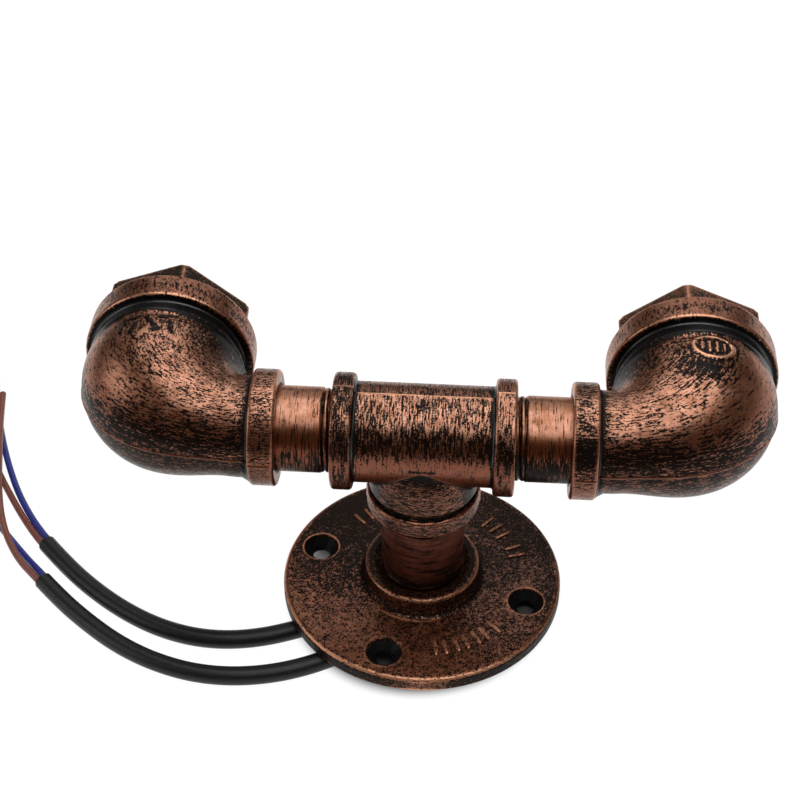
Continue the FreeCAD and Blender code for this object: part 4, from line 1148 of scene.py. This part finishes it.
hexCopper = {
    "left": rubbedCopper("left hexagon copper", cover=0.1, patchShare=0.3, strokeShare=0.3,
                         speckScale=1500, edge=0.3, stained=(0.020, 0.015, 0.012)),
    "right": rubbedCopper("right hexagon copper", cover=0.78, patchShare=0.5, strokeShare=0.3,
                          speckScale=1500, stained=(0.020, 0.015, 0.012)),
}
for side, name in ((-1, "left"), (1, "right")):
    makeBush(bushLook, side, name)
print("bushes made")


# The nodes that stay as they are take the finish of their slot in the record
def dressNodes():
    slots = {row["node"]: row["material_slot"] for row in frame["record"]["subparts"]}
    for name, node in frame["nodes"].items():
        if node.hide_render:
            continue
        node.data.materials.clear()
        node.data.materials.append(finishes[slots[name]])


dressNodes()
bpy.context.view_layer.update()

# Stage: a pale table, tilted as far as the cables lift the flange's near side, and soft light
stageLook = {
    "tilt": 0.0695, "way": 26.0,     # slope, and the way in which the table rises, in degrees from +X
    "near": -0.36, "far": 1.6, "half": 1.6,
    "colour": (0.9, 0.9, 0.9), "white": 0.92,
    "shadeFrom": 0.040, "shadeTo": 0.047,    # the plate's own shadow fills this ring under it
    # painted shadow: a dark table colour under the plate, fading out along a line across it
    "paintedShadow": (0.07, 0.07, 0.07), "paintedShadowWay": (-0.8, 0.6, 0), "paintedShadowFrom": 0.012, "paintedShadowTo": 0.036,
}


def tableWhite(look):
    # camera, mirror and glass rays see mostly plain white, with a share of the lit surface
    # left in, so that the shadow still shows; all other rays see the lit surface
    w = Wiring("table white")
    away = w.add("VectorMath", {0: w.place()}, "Value", operation="LENGTH")
    clear = w.span(away, look["shadeFrom"], look["shadeTo"], smooth=True)
    rays = w.nodes.new("ShaderNodeLightPath").outputs
    seen = w.sum("ADD", rays["Is Camera Ray"], rays["Is Glossy Ray"])
    seen = w.sum("MINIMUM", w.sum("ADD", seen, rays["Is Transmission Ray"]), 1.0)
    glow = w.add("Emission", {"Color": (1, 1, 1, 1), "Strength": 1.06}, 0)
    share = w.sum("MULTIPLY", seen, w.sum("MULTIPLY", clear, look["white"]))
    # painted shadow: under the right and near sides of the plate the table's colour is dark
    lit = w.span(w.along(w.place(), look["paintedShadowWay"]), look["paintedShadowFrom"], look["paintedShadowTo"])
    paint = w.blend(w.sum("MAXIMUM", lit, clear), look["paintedShadow"], look["colour"])
    w.fill(w.shader, {"Base Color": paint, "Roughness": 0.7, "Specular IOR Level": 0.2})
    w.feed(w.surface, w.add("MixShader", {0: share, 1: w.shader.outputs[0], 2: glow}, 0))
    return w.material


def makeStage(look):
    way = math.radians(look["way"])
    along = np.array([math.cos(way), math.sin(way)])
    half, near, far = look["half"], look["near"], look["far"]
    corners = np.array([(-half, near), (half, near), (half, far), (-half, far)])
    heights = -look["tilt"] * (flangeR * mm - corners @ along)
    mesh = bpy.data.meshes.new("table")
    mesh.from_pydata([(x, y, z) for (x, y), z in zip(corners, heights)], [], [(0, 1, 2, 3)])
    mesh.materials.append(tableWhite(look))
    table = addObject("table", mesh)


lampLook = {
    "world": 0.06,
    "overhead": {"place": (0.05, 0.02, 1.0), "aim": (0, 0, 0.05), "size": (1.65, 0.95), "power": 11.6},
    "back": {"place": (0.1, 1.1, 0.75), "aim": (0, 0, 0.05), "size": (1.4, 0.6), "power": 2.0},
    "left": {"place": (-1.1, -0.25, 0.45), "aim": (0, 0, 0.05), "size": (0.7, 0.7), "power": 2.6},
}


def makeLights(look):
    world = bpy.data.worlds.new("studio")
    world.use_nodes = True
    world.node_tree.nodes["Background"].inputs["Strength"].default_value = look["world"]
    world.node_tree.nodes["Background"].inputs["Color"].default_value = (1, 1, 1, 1)
    scene.world = world
    for name, lamp in look.items():
        if name == "world":
            continue
        data = bpy.data.lights.new(name, "AREA")
        data.shape = "RECTANGLE"
        data.size, data.size_y = lamp["size"]
        data.energy = lamp["power"]
        light = addObject(name, data)
        light.location = lamp["place"]
        away = Vector(lamp["place"]) - Vector(lamp["aim"])
        light.rotation_euler = away.to_track_quat("Z", "Y").to_euler()


makeStage(stageLook)
makeLights(lampLook)
print("stage and lamps set")
